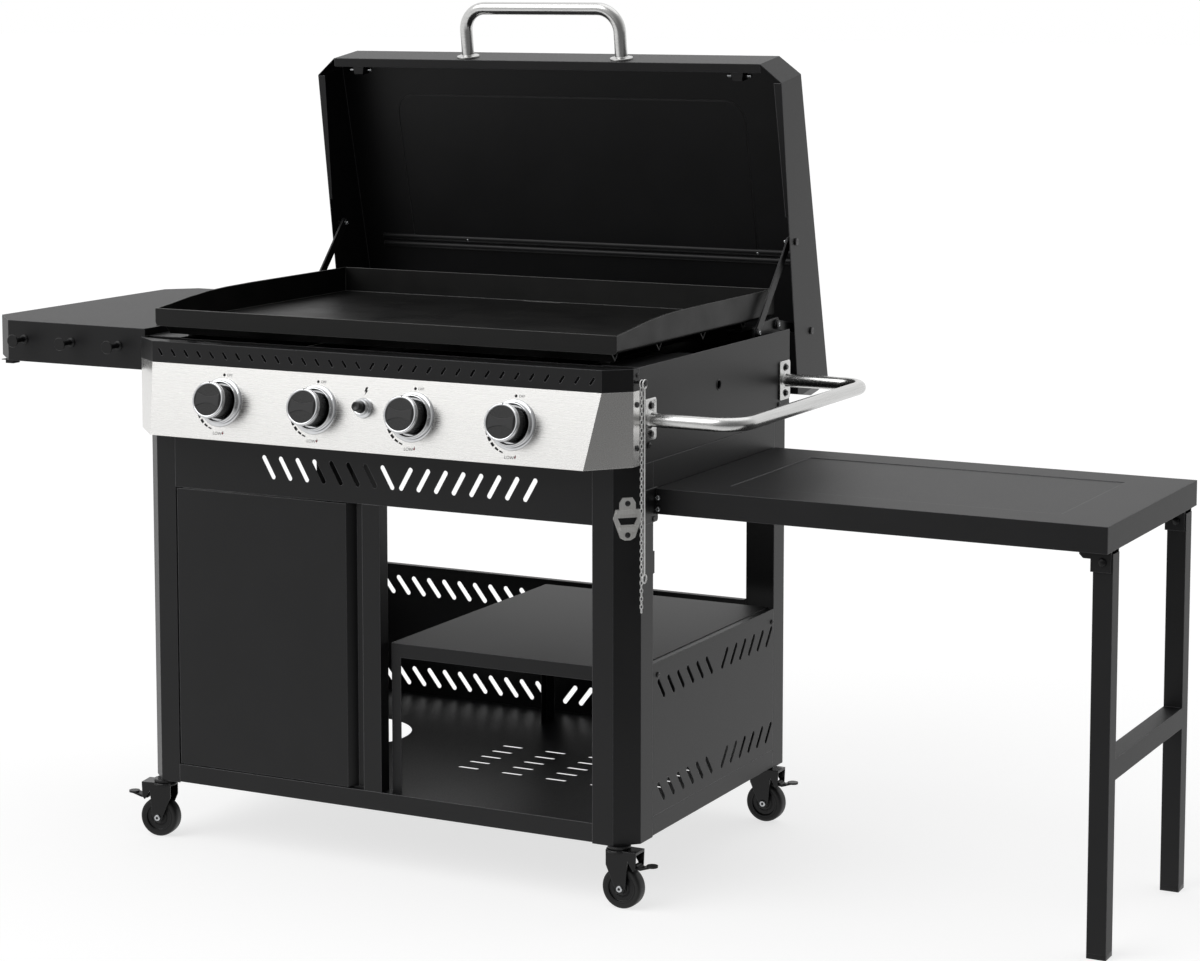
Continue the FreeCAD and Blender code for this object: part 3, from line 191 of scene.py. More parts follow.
def turned(mesh, outline, place, steps=48):
    """Turns an outline of radius and height about the local z axis."""
    rings = []
    for radius, height in outline:
        angles = [0.0] if radius == 0 else [math.tau * k / steps for k in range(steps)]
        rings.append([mesh.verts.new(place @ Vector((radius * math.cos(a), radius * math.sin(a), height)))
                      for a in angles])
    for one, two in zip(rings, rings[1:]):
        for k in range(steps):
            around = (one[k % len(one)], one[(k + 1) % len(one)], two[(k + 1) % len(two)], two[k % len(two)])
            corners = list(dict.fromkeys(around))
            if len(corners) > 2:
                mesh.faces.new(corners)


def put(name, mesh, material, body, smooth=35, instead_of=()):
    """Makes a piece of a mesh drawn in the cart's millimetres, with its finish and its body."""
    bmesh.ops.remove_doubles(mesh, verts=mesh.verts, dist=0.002)
    bmesh.ops.recalc_face_normals(mesh, faces=mesh.faces)
    mesh.transform(Matrix.Translation(corner) @ Matrix.Scale(0.001, 4))
    data = bpy.data.meshes.new(name)
    mesh.to_mesh(data)
    mesh.free()
    data.materials.append(material)
    data.shade_smooth()
    data.set_sharp_from_angle(angle=math.radians(smooth))
    piece = bpy.data.objects.new(name, data)
    bpy.context.scene.collection.objects.link(piece)
    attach(piece, body)
    if instead_of:
        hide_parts(*instead_of)
    return piece


def moulded(name, colour, rough, grain_mm, gloss=0.5):
    """Plastic or rubber from a mould: even colour with a painted highlight along the edges, and the mould's
    fine etched grain.
    """
    material, tree = new_material(name)
    rounded_off, near_edge = soft_edges(tree, 0.5)
    grain = grain_of(tree, grain_mm)
    bumped = add(tree, "Bump", {"Height": grain, "Strength": 0.12, "Distance": 0.0003,
                                "Normal": rounded_off})
    # the grey #3c3c3d is a painted highlight, blended in near the edges
    finish_material(tree, Base_Color=blended(tree, near_edge, linear(colour), linear("#3c3c3d")), IOR=1.49,
                    Normal=bumped.outputs[0], Roughness=spread(tree, grain, rough - 0.03, rough + 0.05),
                    Specular_IOR_Level=gloss)
    return material


def metal(name, colour, rough, streaks_mm, along="y", grain=0.05, strength=0.1, metallic=1.0):
    """Bare metal: long streaks left by brushing or drawing along one axis."""
    material, tree = new_material(name)
    place = add(tree, "TexCoord").outputs["Object"]
    scale = [12.0 if axis == along else 1000 / streaks_mm for axis in "xyz"]
    stretched = add(tree, "Mapping", {"Vector": place, "Scale": scale}).outputs[0]
    streaks = add(tree, "TexNoise", {"Vector": stretched, "Scale": 1.0, "Detail": 3.0}).outputs["Fac"]
    rounded_off = add(tree, "Bevel", {"Radius": 0.0006}, samples=4).outputs[0]
    bumped = add(tree, "Bump", {"Height": streaks, "Strength": strength, "Distance": 0.0002,
                                "Normal": rounded_off})
    shade = blended(tree, spread(tree, streaks, 0.0, 1.0), linear(colour), linear("#8f8f8e"))
    faint = blended(tree, 0.18, linear(colour), shade)
    finish_material(tree, Base_Color=faint, Metallic=metallic, Normal=bumped.outputs[0],
                    Roughness=spread(tree, streaks, rough - grain, rough + grain))
    return material


# Enamel is a thin wet-looking film; rubber is dull; nylon sits between them.
# the third colour of each coat is a painted highlight along the edges
gloss_enamel = powder_coat("black_enamelled_steel", "#0c0c0d", "#101011", "#3a3a3c", 0.22, 5)
tyre_rubber = moulded("vulcanised_rubber", "#121212", 0.5, 0.8, 0.35)
hub_nylon = moulded("glass_filled_nylon", "#0e0e0f", 0.36, 0.6, 0.3)
bright_zinc = metal("bright_zinc_plate", "#b9bbbd", 0.25, 1.5, "z")
dress(gloss_enamel, *["caster_fork_" + name for name in SWIVELS], "caster_mounts")
dress(hub_nylon, *["caster_brake_" + name for name in SWIVELS])

for name, (x, y, angle) in SWIVELS.items():
    fork = where(x, y, LIFT_MM) @ Matrix.Rotation(math.radians(angle), 4, "Z")
    axle = fork @ where(TRAIL, 0, WHEEL_R, FRONT)
    tyre = bmesh.new()
    turned(tyre, TREAD + [(r, -h) for r, h in reversed(TREAD)] + [TREAD[0]], axle, 64)
    put("tyre_" + name, tyre, tyre_rubber, "wheel_" + name,
        instead_of=["caster_wheel_" + name])
    hub = bmesh.new()
    turned(hub, HUB_SIDE + [(r, -h) for r, h in reversed(HUB_SIDE)] + [HUB_SIDE[0]], axle, 64)
    put("hub_" + name, hub, hub_nylon, "wheel_" + name)
    rivets = bmesh.new()
    for way in (-1, 1):
        turned(rivets, [(r, way * h) for r, h in RIVET_HEAD], axle, 32)
    put("axle_rivet_" + name, rivets, bright_zinc, "fork_" + name)
    race = bmesh.new()
    turned(race, RACE, fork, 64)
    put("ball_race_" + name, race, gloss_enamel, "fork_" + name)
    cup = bmesh.new()
    turned(cup, SWIVEL_CUP, where(x, y, 0), 64)
    put("swivel_cup_" + name, cup, gloss_enamel, "cart")

# Inner shelf, and the doorway's upright: folded sheet in the same coat, the shelf in
# a finer-textured powder. The door is a flat pan whose free edge folds back into a
# finger pull, hung on two steel pins between the floor tray and the cross beam.

# the third colour, #6e6e70, is a painted highlight along the edges
fine_coat = powder_coat("fine_texture_powder_coat", "#161617", "#1a1a1b", "#6e6e70", 0.48, 1.6)
dress(fine_coat, "tank_shelf")
dress(satin_coat, "door_jamb", "cabinet_door")


def stack(mesh, layers, place):
    """Joins outlines drawn at rising heights, and closes the two ends."""
    rings = [[mesh.verts.new(place @ Vector((x, y, height))) for x, y in outline]
             for outline, height in layers]
    for one, two in zip(rings, rings[1:]):
        for k in range(len(one)):
            mesh.faces.new((one[k - 1], one[k], two[k], two[k - 1]))
    mesh.faces.new(rings[0][::-1])
    mesh.faces.new(rings[-1])


def scaled(outline, share):
    """An outline drawn smaller or larger about its middle."""
    return [(x * share, y * share) for x, y in outline]


def cross_head(mesh, radius, tall, place):
    """A pan head with a cross recess, its underside on the local plane."""
    steps = 24
    inner = radius * 0.74
    half, arm, deep = radius * 0.15, radius * 0.56, tall * 0.55
    dome = [(inner, tall), (radius * 0.93, tall * 0.82), (radius, tall * 0.45), (radius, 0)]
    turned(mesh, dome, place, steps)
    angles = [math.tau * k / steps for k in range(steps)]
    rim = [mesh.verts.new(place @ Vector((inner * math.cos(a), inner * math.sin(a), tall))) for a in angles]
    cross = []
    for quarter in range(4):
        turn = Matrix.Rotation(math.tau * quarter / 4, 2)
        cross += [turn @ Vector(point) for point in ((arm, -half), (arm, half), (half, half))]
    high = [mesh.verts.new(place @ Vector((x, y, tall))) for x, y in cross]
    low = [mesh.verts.new(place @ Vector((x, y, tall - deep))) for x, y in cross]
    edges = [mesh.edges.new((ring[k - 1], ring[k])) for ring in (rim, high) for k in range(len(ring))]
    bmesh.ops.triangle_fill(mesh, edges=edges, use_beauty=True)
    for k in range(len(cross)):
        mesh.faces.new((low[k - 1], low[k], high[k], high[k - 1]))
    mesh.faces.new(low)


# The screws that hold the side panels' ends to the posts: M5 pan heads with a cross
# recess, blacked in an oil bath.
PANEL_SCREWS = ((91, 351), (529, 350))     # y and height
blacked_steel = metal("oil_blacked_steel", "#3b3b3c", 0.32, 1.2, "z", strength=0.05)
screws = bmesh.new()
for y, z in PANEL_SCREWS:
    cross_head(screws, 4.2, 2.2, where(BODY_MM, y, z, RIGHT))
    cross_head(screws, 4.2, 2.2, where(0, y, z, LEFT))
put("panel_screws", screws, blacked_steel, "cart")

# Burner box: four walls of sheet spot welded at the corners, open at the top, with a
# raised lip round the hole through which the burners can be lit by a match.

dress(satin_coat, "burner_box", "front_trim")
BODY_TOP = 841
PORT_Y, PORT_Z, PORT_R = 312, 780, 7
WALL_SCREWS_Y, WALL_SCREWS_Z = (58, 552), 717
TRIM_SCREW_Y, TRIM_SCREW_Z = 18, 830
NOSE_SCREWS_Y, NOSE_SCREWS_Z = 17, (785, 718)
eyelet = bmesh.new()
turned(eyelet, [(PORT_R, -1), (PORT_R, 0.4), (PORT_R + 0.7, 1), (PORT_R + 1.7, 0.7), (PORT_R + 2.2, 0)],
       where(BODY_MM, PORT_Y, PORT_Z, RIGHT))
put("match_hole_lip", eyelet, satin_coat, "cart")
side_screws = bmesh.new()
for y in WALL_SCREWS_Y:
    cross_head(side_screws, 4.6, 2.4, where(BODY_MM, y, WALL_SCREWS_Z, RIGHT))
    cross_head(side_screws, 4.6, 2.4, where(0, y, WALL_SCREWS_Z, LEFT))
cross_head(side_screws, 3.4, 1.8, where(BODY_MM, TRIM_SCREW_Y, TRIM_SCREW_Z, RIGHT))
for z in NOSE_SCREWS_Z:
    cross_head(side_screws, 4.6, 2.4, where(BODY_MM, NOSE_SCREWS_Y, z, RIGHT))
    cross_head(side_screws, 4.6, 2.4, where(0, NOSE_SCREWS_Y, z, LEFT))
put("body_screws", side_screws, blacked_steel, "cart")

# Burners and gas train: aluminised steel tubes, and a drawn supply pipe with its four
# valves in the same finish. The valve stems are turned brass, and the drip cup under
# the plate's drain is pressed aluminium.

aluminised = metal("aluminised_steel_tube", "#8f8f8c", 0.38, 2.5, "y", strength=0.15)
pressed_aluminium = metal("pressed_aluminium", "#a9aaab", 0.34, 3, "y")
turned_brass = metal("turned_brass", "#b08d4c", 0.28, 0.8, "z")
dress(aluminised, "burner_tubes", "gas_train")
dress(pressed_aluminium, "grease_cup")
dress(turned_brass, *["valve_stem_%d" % i for i in range(1, 5)])

# Control panel: stainless sheet, brushed from end to end after folding, so it shows
# fine level streaks and a broad soft reflection. Its back is left as rolled.

PANEL_TOP, PANEL_LOW = 806, 690
NOSE_TOP, NOSE_LOW = 31, 59
KNOB_Z = 750
KNOBS = [460 + 179 * (i - 1.5) for i in range(4)]
slope = math.atan2(NOSE_LOW - NOSE_TOP, PANEL_TOP - PANEL_LOW)
PANEL = facing((0, -math.cos(slope), math.sin(slope)))
brushed_stainless = metal("brushed_stainless_sheet", "#e6e5e3", 0.27, 0.9, "x", 0.05, 0.08)
dress(brushed_stainless, "control_panel")


def on_panel(x, z, out=0.0):
    """A place on the panel's face, its z axis pointing out of the face and y up the slope."""
    share = (PANEL_TOP - z) / (PANEL_TOP - PANEL_LOW)
    y = -(NOSE_TOP + (NOSE_LOW - NOSE_TOP) * share)
    return where(x, y, z, PANEL) @ Matrix.Translation((0, 0, out))


def printed(mesh, outline, place):
    """A patch of print, a few hundredths of a millimetre proud."""
    stack(mesh, [(outline, -0.02), (outline, 0.06)], place)


def arc_patch(middle, half, radius, thick, steps=6):
    """A stretch of a ring as an outline, by its middle angle and half angle in degrees."""
    angles = [math.radians(middle - half + 2 * half * k / steps) for k in range(steps + 1)]
    outer = [((radius + thick / 2) * math.cos(a), (radius + thick / 2) * math.sin(a)) for a in angles]
    inner = [((radius - thick / 2) * math.cos(a), (radius - thick / 2) * math.sin(a)) for a in angles]
    return outer + inner[::-1]


def letters(mesh, words, tall, x, y, place):
    """A printed word, set from its left end."""
    curve = bpy.data.curves.new(words, "FONT")
    curve.body = words
    curve.size = tall / 0.7
    curve.extrude = 0.04
    drawn = bpy.data.objects.new(words, curve)
    flat = bpy.data.meshes.new_from_object(drawn)
    flat.transform(place @ Matrix.Translation((x, y, 0.03)))
    mesh.from_mesh(flat)
    bpy.data.objects.remove(drawn)
    bpy.data.curves.remove(curve)
    bpy.data.meshes.remove(flat)


# Dial marks are screen printed and baked. In near-black are a dot and a word at the
# shut position, and a wedge that thins towards low, with its word; a small flame is red.
print_ink, tree = new_material("screen_printed_ink")
finish_material(tree, Base_Color=linear("#0b0b0c"), Roughness=spread(tree, grain_of(tree, 1.5), 0.5, 0.62),
                Specular_IOR_Level=0.2)
warm_ink, tree = new_material("red_screen_printed_ink")
finish_material(tree, Base_Color=linear("#7c2f30"), Roughness=spread(tree, grain_of(tree, 1.5), 0.5, 0.62))
# the wedge's six patches: middle angle, half angle and thickness
WEDGE = [(184, 5, 6.4), (198, 5, 5.8), (212, 4.8, 5.0), (225.5, 4.6, 4.2), (238.5, 4.4, 3.2),
         (250, 4.2, 2.2)]
MARK_R = 45.5
marks = bmesh.new()
flames = bmesh.new()
for x in KNOBS:
    place = on_panel(x, KNOB_Z)
    dot = arc_patch(0, 180, 1.2, 2.4, 20)[:20]
    printed(marks, [(a, b + 44.5) for a, b in dot], place)
    letters(marks, "OFF", 4.2, 5, 42.6, place)
    for middle, half, thick in WEDGE:
        printed(marks, arc_patch(middle, half, MARK_R, thick), place)
    letters(marks, "LOW", 5, -9, -53, place)
    printed(flames, arc_patch(163, 12, MARK_R, 2.6), place)
    flame = [(9.6, -52), (11.4, -50.6), (11.2, -48.6), (9.9, -45.4), (9.3, -48), (8.1, -49.2), (8.3, -51)]
    printed(flames, flame, place)
SPARK_X, SPARK_Z = 461, 784
spark = [(-1.5, 6), (3, 6.6), (0.6, 1.4), (3.4, 1.6), (-2.6, -7), (-0.8, -0.6), (-3.4, -0.8)]
printed(marks, spark, on_panel(SPARK_X, SPARK_Z))
put("dial_marks", marks, print_ink, "cart")
put("flame_marks", flames, warm_ink, "cart")

# Bezels and knobs: the bezels are spun steel, chrome plated, wide and dished. A knob is
# moulded black phenolic with a ribbed skirt, a plated ring pressed round its rim and a
# plain waisted grip on its face.

mirror_chrome = metal("mirror_chrome_plate", "#d6d7d9", 0.07, 20, "z", 0.03, 0.02)
phenolic = moulded("black_phenolic", "#111112", 0.26, 0.7, 0.5)
face_plastic = moulded("satin_black_face", "#1f1f20", 0.38, 0.5, 0.5)
BEZEL = [(14, 0.2), (14, 2.6), (30.2, 2.6), (31, 3.4), (31.2, 8.6), (31.8, 9.7), (32.6, 10), (33.4, 9.7),
         (34, 8.8), (34.4, 5), (35.4, 4), (37.4, 3.7), (38.9, 3.1), (39.8, 2), (40, 0.2), (14, 0.2)]
bezels = bmesh.new()
for x in KNOBS:
    turned(bezels, BEZEL, on_panel(x, KNOB_Z), 72)
COLLAR = [(8.6, 0.2), (8.6, 13.6), (9.4, 14), (11.6, 14), (12.4, 13.4), (12.6, 5.6), (13.4, 4.8),
          (15.2, 4.2), (16, 3.2), (16, 0.2), (8.6, 0.2)]
IGNITER_X, IGNITER_Z = 460, KNOB_Z + 8
turned(bezels, COLLAR, on_panel(IGNITER_X, IGNITER_Z), 48)
put("bezel_rings", bezels, mirror_chrome, "cart", instead_of=["knob_bezels"])

RIBS, SKIRT_STEPS = 36, 144
SKIRT_R, SKIRT_FOOT, FOOT_INSET = 27.6, 9, 1.6
SKIRT = ((SKIRT_FOOT, 0.0), (9.4, 0.3), (12, 1.0), (29.5, 1.0), (31, 0.5))     # height, rib depth
KNOB_RING = [(25.6, 38.7), (25.8, 39.6), (26.6, 40), (28, 40), (29.2, 39.3), (29.9, 37.8), (30, 34.6),
             (29.6, 33), (28.6, 31.9), (27, 31.4)]
GRIP_WAIST, GRIP_WIDE, GRIP_REACH = 5.4, 11.5, 22.6
for number, x in enumerate(KNOBS, start=1):
    place = on_panel(x, KNOB_Z)
    body = "knob_%d" % number
    skirt = bmesh.new()
    rings = []
    for height, deep in SKIRT:
        inset = FOOT_INSET if height == SKIRT_FOOT else 0
        ring = []
        for k in range(SKIRT_STEPS):
            angle = math.tau * k / SKIRT_STEPS
            radius = SKIRT_R - deep * (0.5 + 0.5 * math.cos(angle * RIBS)) - inset
            point = Vector((radius * math.cos(angle), radius * math.sin(angle), height))
            ring.append(skirt.verts.new(place @ point))
        rings.append(ring)
    for one, two in zip(rings, rings[1:]):
        for k in range(SKIRT_STEPS):
            skirt.faces.new((one[k - 1], one[k], two[k], two[k - 1]))
    turned(skirt, [(4.3, 12), (4.3, SKIRT_FOOT), (26, SKIRT_FOOT)], place, SKIRT_STEPS)
    turned(skirt, [(27.1, 31), (26.4, 32.4), (26.4, 38.6), (0, 38.6)], place, SKIRT_STEPS)
    put("knob_skirt_%d" % number, skirt, phenolic, body, 50, instead_of=["knob_%d" % number])
    ring = bmesh.new()
    turned(ring, KNOB_RING, place, 72)
    put("knob_ring_%d" % number, ring, mirror_chrome, body)
    face = bmesh.new()
    # the grip spans the face and is drawn in at its waist
    upper = []
    for k in range(17):
        across = -GRIP_REACH + 2 * GRIP_REACH * k / 16
        upper.append((across, GRIP_WAIST + (GRIP_WIDE - GRIP_WAIST) * (across / GRIP_REACH) ** 2))
    grip = upper + [(a, -b) for a, b in reversed(upper)]
    stack(face, [(grip, 38.5), (grip, 39.2), (scaled(grip, 0.96), 39.6)], place)
    put("knob_grip_%d" % number, face, face_plastic, body)
    pointer = bmesh.new()
    printed(pointer, [(-1.5, 29.2), (0, 26.2), (1.5, 29.2)], place @ Matrix.Translation((0, 0, 39.95)))
    put("knob_pointer_%d" % number, pointer, phenolic, body)

button = bmesh.new()
turned(button, [(0, -10), (6, -10), (6, 5.5), (8.1, 5.5), (8.1, 23.6), (7.6, 25.2), (6.4, 26), (5.6, 26),
                (5, 25.6), (0, 25.3)], on_panel(IGNITER_X, IGNITER_Z), 48)
put("igniter_cap", button, phenolic, "igniter", instead_of=["igniter_button"])

# Griddle plate: 3 and 4 mm hot-rolled steel, cut, welded into a tray and seasoned with
# oil, so it is dark and matt with faint rolling clouds. Its feet are threaded studs
# with lock nuts, standing on the body's seats.

FEET_X = (72, BODY_MM - 72)
FEET_Y = (51, 545)
seasoned, tree = new_material("oil_seasoned_rolled_steel")
rolled = grain_of(tree, 60, 4.0)
mill_scale = grain_of(tree, 3.0, 3.0)
rounded_off, near_edge = soft_edges(tree, 1.6)
oiled = blended(tree, spread(tree, rolled, 0.0, 1.0), linear("#0b0b0b"), linear("#121211"))
bumped = add(tree, "Bump", {"Height": mill_scale, "Strength": 0.12, "Distance": 0.0003,
                            "Normal": rounded_off})
# 8a8a89 is a painted highlight, blended in along the plate's edges and rims
finish_material(tree, Base_Color=blended(tree, near_edge, oiled, linear("#8a8a89")), IOR=1.5,
                Normal=bumped.outputs[0], Roughness=spread(tree, rolled, 0.40, 0.50),
                Specular_IOR_Level=0.26)
dress(seasoned, "griddle_plate")


def hexagon(across):
    """A hexagon by the distance between its flats."""
    radius = across / math.sqrt(3)
    return [(radius * math.cos(math.tau * k / 6), radius * math.sin(math.tau * k / 6)) for k in range(6)]


def hex_nut(mesh, across, tall, place):
    """A nut or a bolt's head, its corners chamfered."""
    six = hexagon(across)
    layers = [(scaled(six, 0.92), 0), (six, tall * 0.15), (six, tall * 0.82), (scaled(six, 0.88), tall)]
    stack(mesh, layers, place)


FOOT_NUTS = ((15.6, 4, 2.7), (16.6, 5.6, 13.4))     # across flats, thickness, height above the body
nuts = bmesh.new()
for x in FEET_X:
    for y in FEET_Y:
        for across, tall, up in FOOT_NUTS:
            hex_nut(nuts, across, tall, where(x, y, BODY_TOP + up))
put("foot_nuts", nuts, blacked_steel, "cart")

# Lid: a box of folded sheet, 600 mm deep, standing open. Its top is pressed with
# a shallow field and two stiffening ridges. The catches inside its front
# rim are black moulded blocks with bright pins; the handle's bolts show their nuts inside.

LID_LEAN = -81.5
LID = where(0, 550, 1288) @ Matrix.Rotation(math.radians(LID_LEAN), 4, "X")
LID_FRONT, LID_REAR, LID_DEEP = 80, 133, 600
lid_slope = math.atan2(LID_REAR - LID_FRONT, LID_DEEP)
dress(satin_coat, "lid_shell")
dress(blacked_steel, "lid_fittings")


def rounded(corners, radius, steps=6, closed=True):
    """A run of straight lines with its corners rounded, in the plane or in space."""
    made = []
    for i, corner_at in enumerate(corners):
        here = Vector(corner_at)
        if not closed and i in (0, len(corners) - 1):
            made.append(here)
            continue
        back = (Vector(corners[i - 1]) - here).normalized()
        on = (Vector(corners[(i + 1) % len(corners)]) - here).normalized()
        half = back.angle(on) / 2
        middle = here + (back + on).normalized() * (radius / math.sin(half))
        first = here + back * (radius / math.tan(half)) - middle
        last = here + on * (radius / math.tan(half)) - middle
        made += [middle + first.slerp(last, k / steps).normalized() * radius for k in range(steps + 1)]
    return made


# the field is pressed 1.3 mm, with a 2.6 mm slope round it, and ends at the ridges
UNDER_TOP = LID @ where(0, 0, LID_FRONT - SHEET_MM) @ Matrix.Rotation(lid_slope, 4, "X")
FIELD_LEFT, FIELD_RIGHT, FIELD_FRONT, FIELD_REAR = 108, 800, 79, 349
RIDGES = (352, 367)
ALONG_X = Matrix(((0, 0, 1, 0), (1, 0, 0, 0), (0, 1, 0, 0), (0, 0, 0, 1)))
field = bmesh.new()
layers = []
for inward, height in ((0, 0.4), (0, -0.3), (2.6, -1.3)):
    corners = [(FIELD_LEFT + inward, FIELD_FRONT + inward), (FIELD_RIGHT - inward, FIELD_FRONT + inward),
               (FIELD_RIGHT - inward, FIELD_REAR), (FIELD_LEFT + inward, FIELD_REAR)]
    front = rounded([corners[3], corners[0], corners[1], corners[2]], 38 - inward, 10, closed=False)
    layers.append(([tuple(point) for point in front], height))
stack(field, layers[::-1], UNDER_TOP)
put("lid_field", field, satin_coat, "lid", 20)

beads = bmesh.new()
for y in RIDGES:
    arch = [(-5.5 * math.cos(math.pi * k / 12), -4.2 * math.sin(math.pi * k / 12) + 0.3) for k in range(13)]
    stack(beads, [(arch, 42), (arch, BODY_MM - 42)], UNDER_TOP @ where(0, y, 0) @ ALONG_X)
put("lid_beads", beads, satin_coat, "lid", 30)

ridge_rivets = bmesh.new()
RIVETS_X, RIVETS_Y = (221, 800), 353
for x in RIVETS_X:
    place = UNDER_TOP @ where(x, RIVETS_Y, 0)
    turned(ridge_rivets, [(0, -4.6), (1.2, -4.4), (2, -3.6), (2.2, -2)], place, 20)
put("ridge_rivets", ridge_rivets, bright_zinc, "lid")

CATCHES_X = (85, 829)
blocks = bmesh.new()
for x in CATCHES_X:
    outline = [(-10, 1.4), (10, 1.4), (12, 15), (9, 30), (-9, 30), (-12, 15)]
    stack(blocks, [(scaled(outline, 0.94), 1.4), (outline, 3), (outline, 21), (scaled(outline, 0.94), 23)],
          LID @ where(x, 0, 0))
put("catch_blocks", blocks, hub_nylon, "lid", 30)
pins = bmesh.new()
for x in CATCHES_X:
    for way in (-1, 1):
        tip = [(0, 22.4), (1.8, 22.4), (2.9, 21.8), (2.9, 15), (2.4, 14.6)]
        turned(pins, tip, LID @ where(x, 22.2, 12, facing((way, 0, 0))), 24)
put("catch_pins", pins, bright_zinc, "lid")

GRIP_X = (299, 601)
GRIP_UP = 27
inside_nuts = bmesh.new()
for x in GRIP_X:
    for aside in (-9, 9):
        place = LID @ where(x + aside, SHEET_MM, GRIP_UP, facing((0, 1, 0)))
        hex_nut(inside_nuts, 9, 4, place)
        turned(inside_nuts, [(2.9, 3), (2.9, 16), (2.2, 17), (0, 17)], place, 20)
put("handle_nuts", inside_nuts, blacked_steel, "lid")

STAY_BOLT, LINK_BOLT = (308, 24), (475, 68)
lid_bolts = bmesh.new()
for x, turn in ((0, LEFT), (BODY_MM, RIGHT)):
    for y, z in (STAY_BOLT, LINK_BOLT):
        turned(lid_bolts, [(6.2, 0), (6.2, 1.4), (5.2, 2.6), (3.2, 3.1), (2.6, 2.2), (0, 2.2)],
               LID @ where(x, y, z, turn) @ Matrix.Translation((0, 0, 0.2)), 32)
put("lid_bolts", lid_bolts, blacked_steel, "lid")

stay_nuts = bmesh.new()
NUT_IN = 14              # from the body's side to a stay's nut
for x, turn in ((NUT_IN, RIGHT), (BODY_MM - NUT_IN, LEFT)):
    place = LID @ where(x, *STAY_BOLT, turn)
    hex_nut(stay_nuts, 10, 4, place)
    turned(stay_nuts, [(2.9, 3), (2.9, 6.4), (2.2, 7), (0, 7)], place, 20)
put("stay_nuts", stay_nuts, bright_zinc, "lid")

# Lid handle: 22 mm stainless tube, bent twice and polished along its length, with a
# turned collar at each foot that hides the bolt.


def tube(mesh, route, radius, across, place, sides=28):
    """A round bar along a flat route, given the direction square to the route's plane."""
    across = Vector(across)
    rings = []
    for i, point in enumerate(route):
        ahead = Vector(route[min(i + 1, len(route) - 1)]) - Vector(route[max(i - 1, 0)])
        side = ahead.normalized().cross(across)
        angles = [math.tau * k / sides for k in range(sides)]
        offsets = [(side * math.cos(a) + across * math.sin(a)) * radius for a in angles]
        rings.append([mesh.verts.new(place @ (Vector(point) + offset)) for offset in offsets])
    for one, two in zip(rings, rings[1:]):
        for k in range(sides):
            mesh.faces.new((one[k - 1], one[k], two[k], two[k - 1]))
    mesh.faces.new(rings[0])
    mesh.faces.new(rings[-1][::-1])


TUBE_R = 11
GRIP_OUT = 87
GRIP_BEND = 40
FOOT_COLLAR = [(11.2, 5.4), (12.4, 4.6), (14, 4), (18.6, 3.8), (19.7, 3), (20, 1.8), (19.8, 0.1), (8, 0.1)]
polished_tube = metal("polished_stainless_tube", "#cfcfce", 0.2, 2.0, "x", 0.05, 0.08)
grip = bmesh.new()
route = rounded([(GRIP_X[0], -3, GRIP_UP), (GRIP_X[0], -GRIP_OUT, GRIP_UP), (GRIP_X[1], -GRIP_OUT, GRIP_UP),
                 (GRIP_X[1], -3, GRIP_UP)], GRIP_BEND, 14, closed=False)
tube(grip, route, TUBE_R, (0, 0, 1), LID)
for x in GRIP_X:
    turned(grip, FOOT_COLLAR, LID @ where(x, 0, GRIP_UP, FRONT), 48)
put("lid_grip", grip, polished_tube, "lid", instead_of=["lid_handle"])

# Lid linkage: on each side a bracket of 4 mm plate, and a short rear link and a long
# front stay of 3 mm strip, all in the same satin coat. They turn on shouldered pins
# with blacked heads and bright ends.

BAR_IN = 11              # from the body's side to the linkage's outer face
PIN_HEAD = [(3.4, 0.5), (6.6, 0.6), (7, 1.2), (6.6, 2.4), (5, 3.2), (3.4, 3.3)]
PIN_END = [(3.5, 3.1), (3.3, 4), (2.2, 4.3), (1.8, 3.4), (0, 3.4)]
STAY_PIN, LINK_PIN = (490.25, 844.45), (570.23, 850.83)
dress(satin_coat, "lid_brackets", "lid_links", "lid_stays")
heads = bmesh.new()
pin_ends = bmesh.new()
for y, z in (STAY_PIN, LINK_PIN):
    for x, turn in ((BAR_IN, LEFT), (BODY_MM - BAR_IN, RIGHT)):
        turned(heads, PIN_HEAD, where(x, y, z, turn), 32)
        turned(pin_ends, PIN_END, where(x, y, z, turn), 24)
put("linkage_heads", heads, blacked_steel, "cart")
put("linkage_pin_ends", pin_ends, bright_zinc, "cart")

# Side handle: the same tube, bent to a towel bar, welded to two stainless flanges.
# Each flange is held by two black hexagon bolts with washers.

HANDLE_Z = 757
HANDLE_Y = (58, 572)
HANDLE_OUT = BODY_MM + 152
HANDLE_BEND = 45
side_tube = metal("satin_stainless_tube", "#cfcfce", 0.24, 2.0, "y", 0.05, 0.08)
bar = bmesh.new()
route = rounded([(BODY_MM + 2, HANDLE_Y[0], HANDLE_Z), (HANDLE_OUT, HANDLE_Y[0], HANDLE_Z),
                 (HANDLE_OUT, HANDLE_Y[1], HANDLE_Z), (BODY_MM + 2, HANDLE_Y[1], HANDLE_Z)],
                HANDLE_BEND, 16, closed=False)
tube(bar, route, TUBE_R, (0, 0, 1), HERE)
flange = [tuple(point) for point in rounded([(-21, -33), (21, -33), (21, 33), (-21, 33)], 5)]
for y in HANDLE_Y:
    place = where(BODY_MM, y, HANDLE_Z, RIGHT)
    stack(bar, [(flange, 0.05), (flange, 2.5), (scaled(flange, 0.98), 3)], place)
    turned(bar, [(11, 5.4), (12, 4.4), (13.4, 3.4), (14, 2.9)], place, 48)
put("towel_bar", bar, side_tube, "cart", instead_of=["side_handle"])
flange_bolts = bmesh.new()
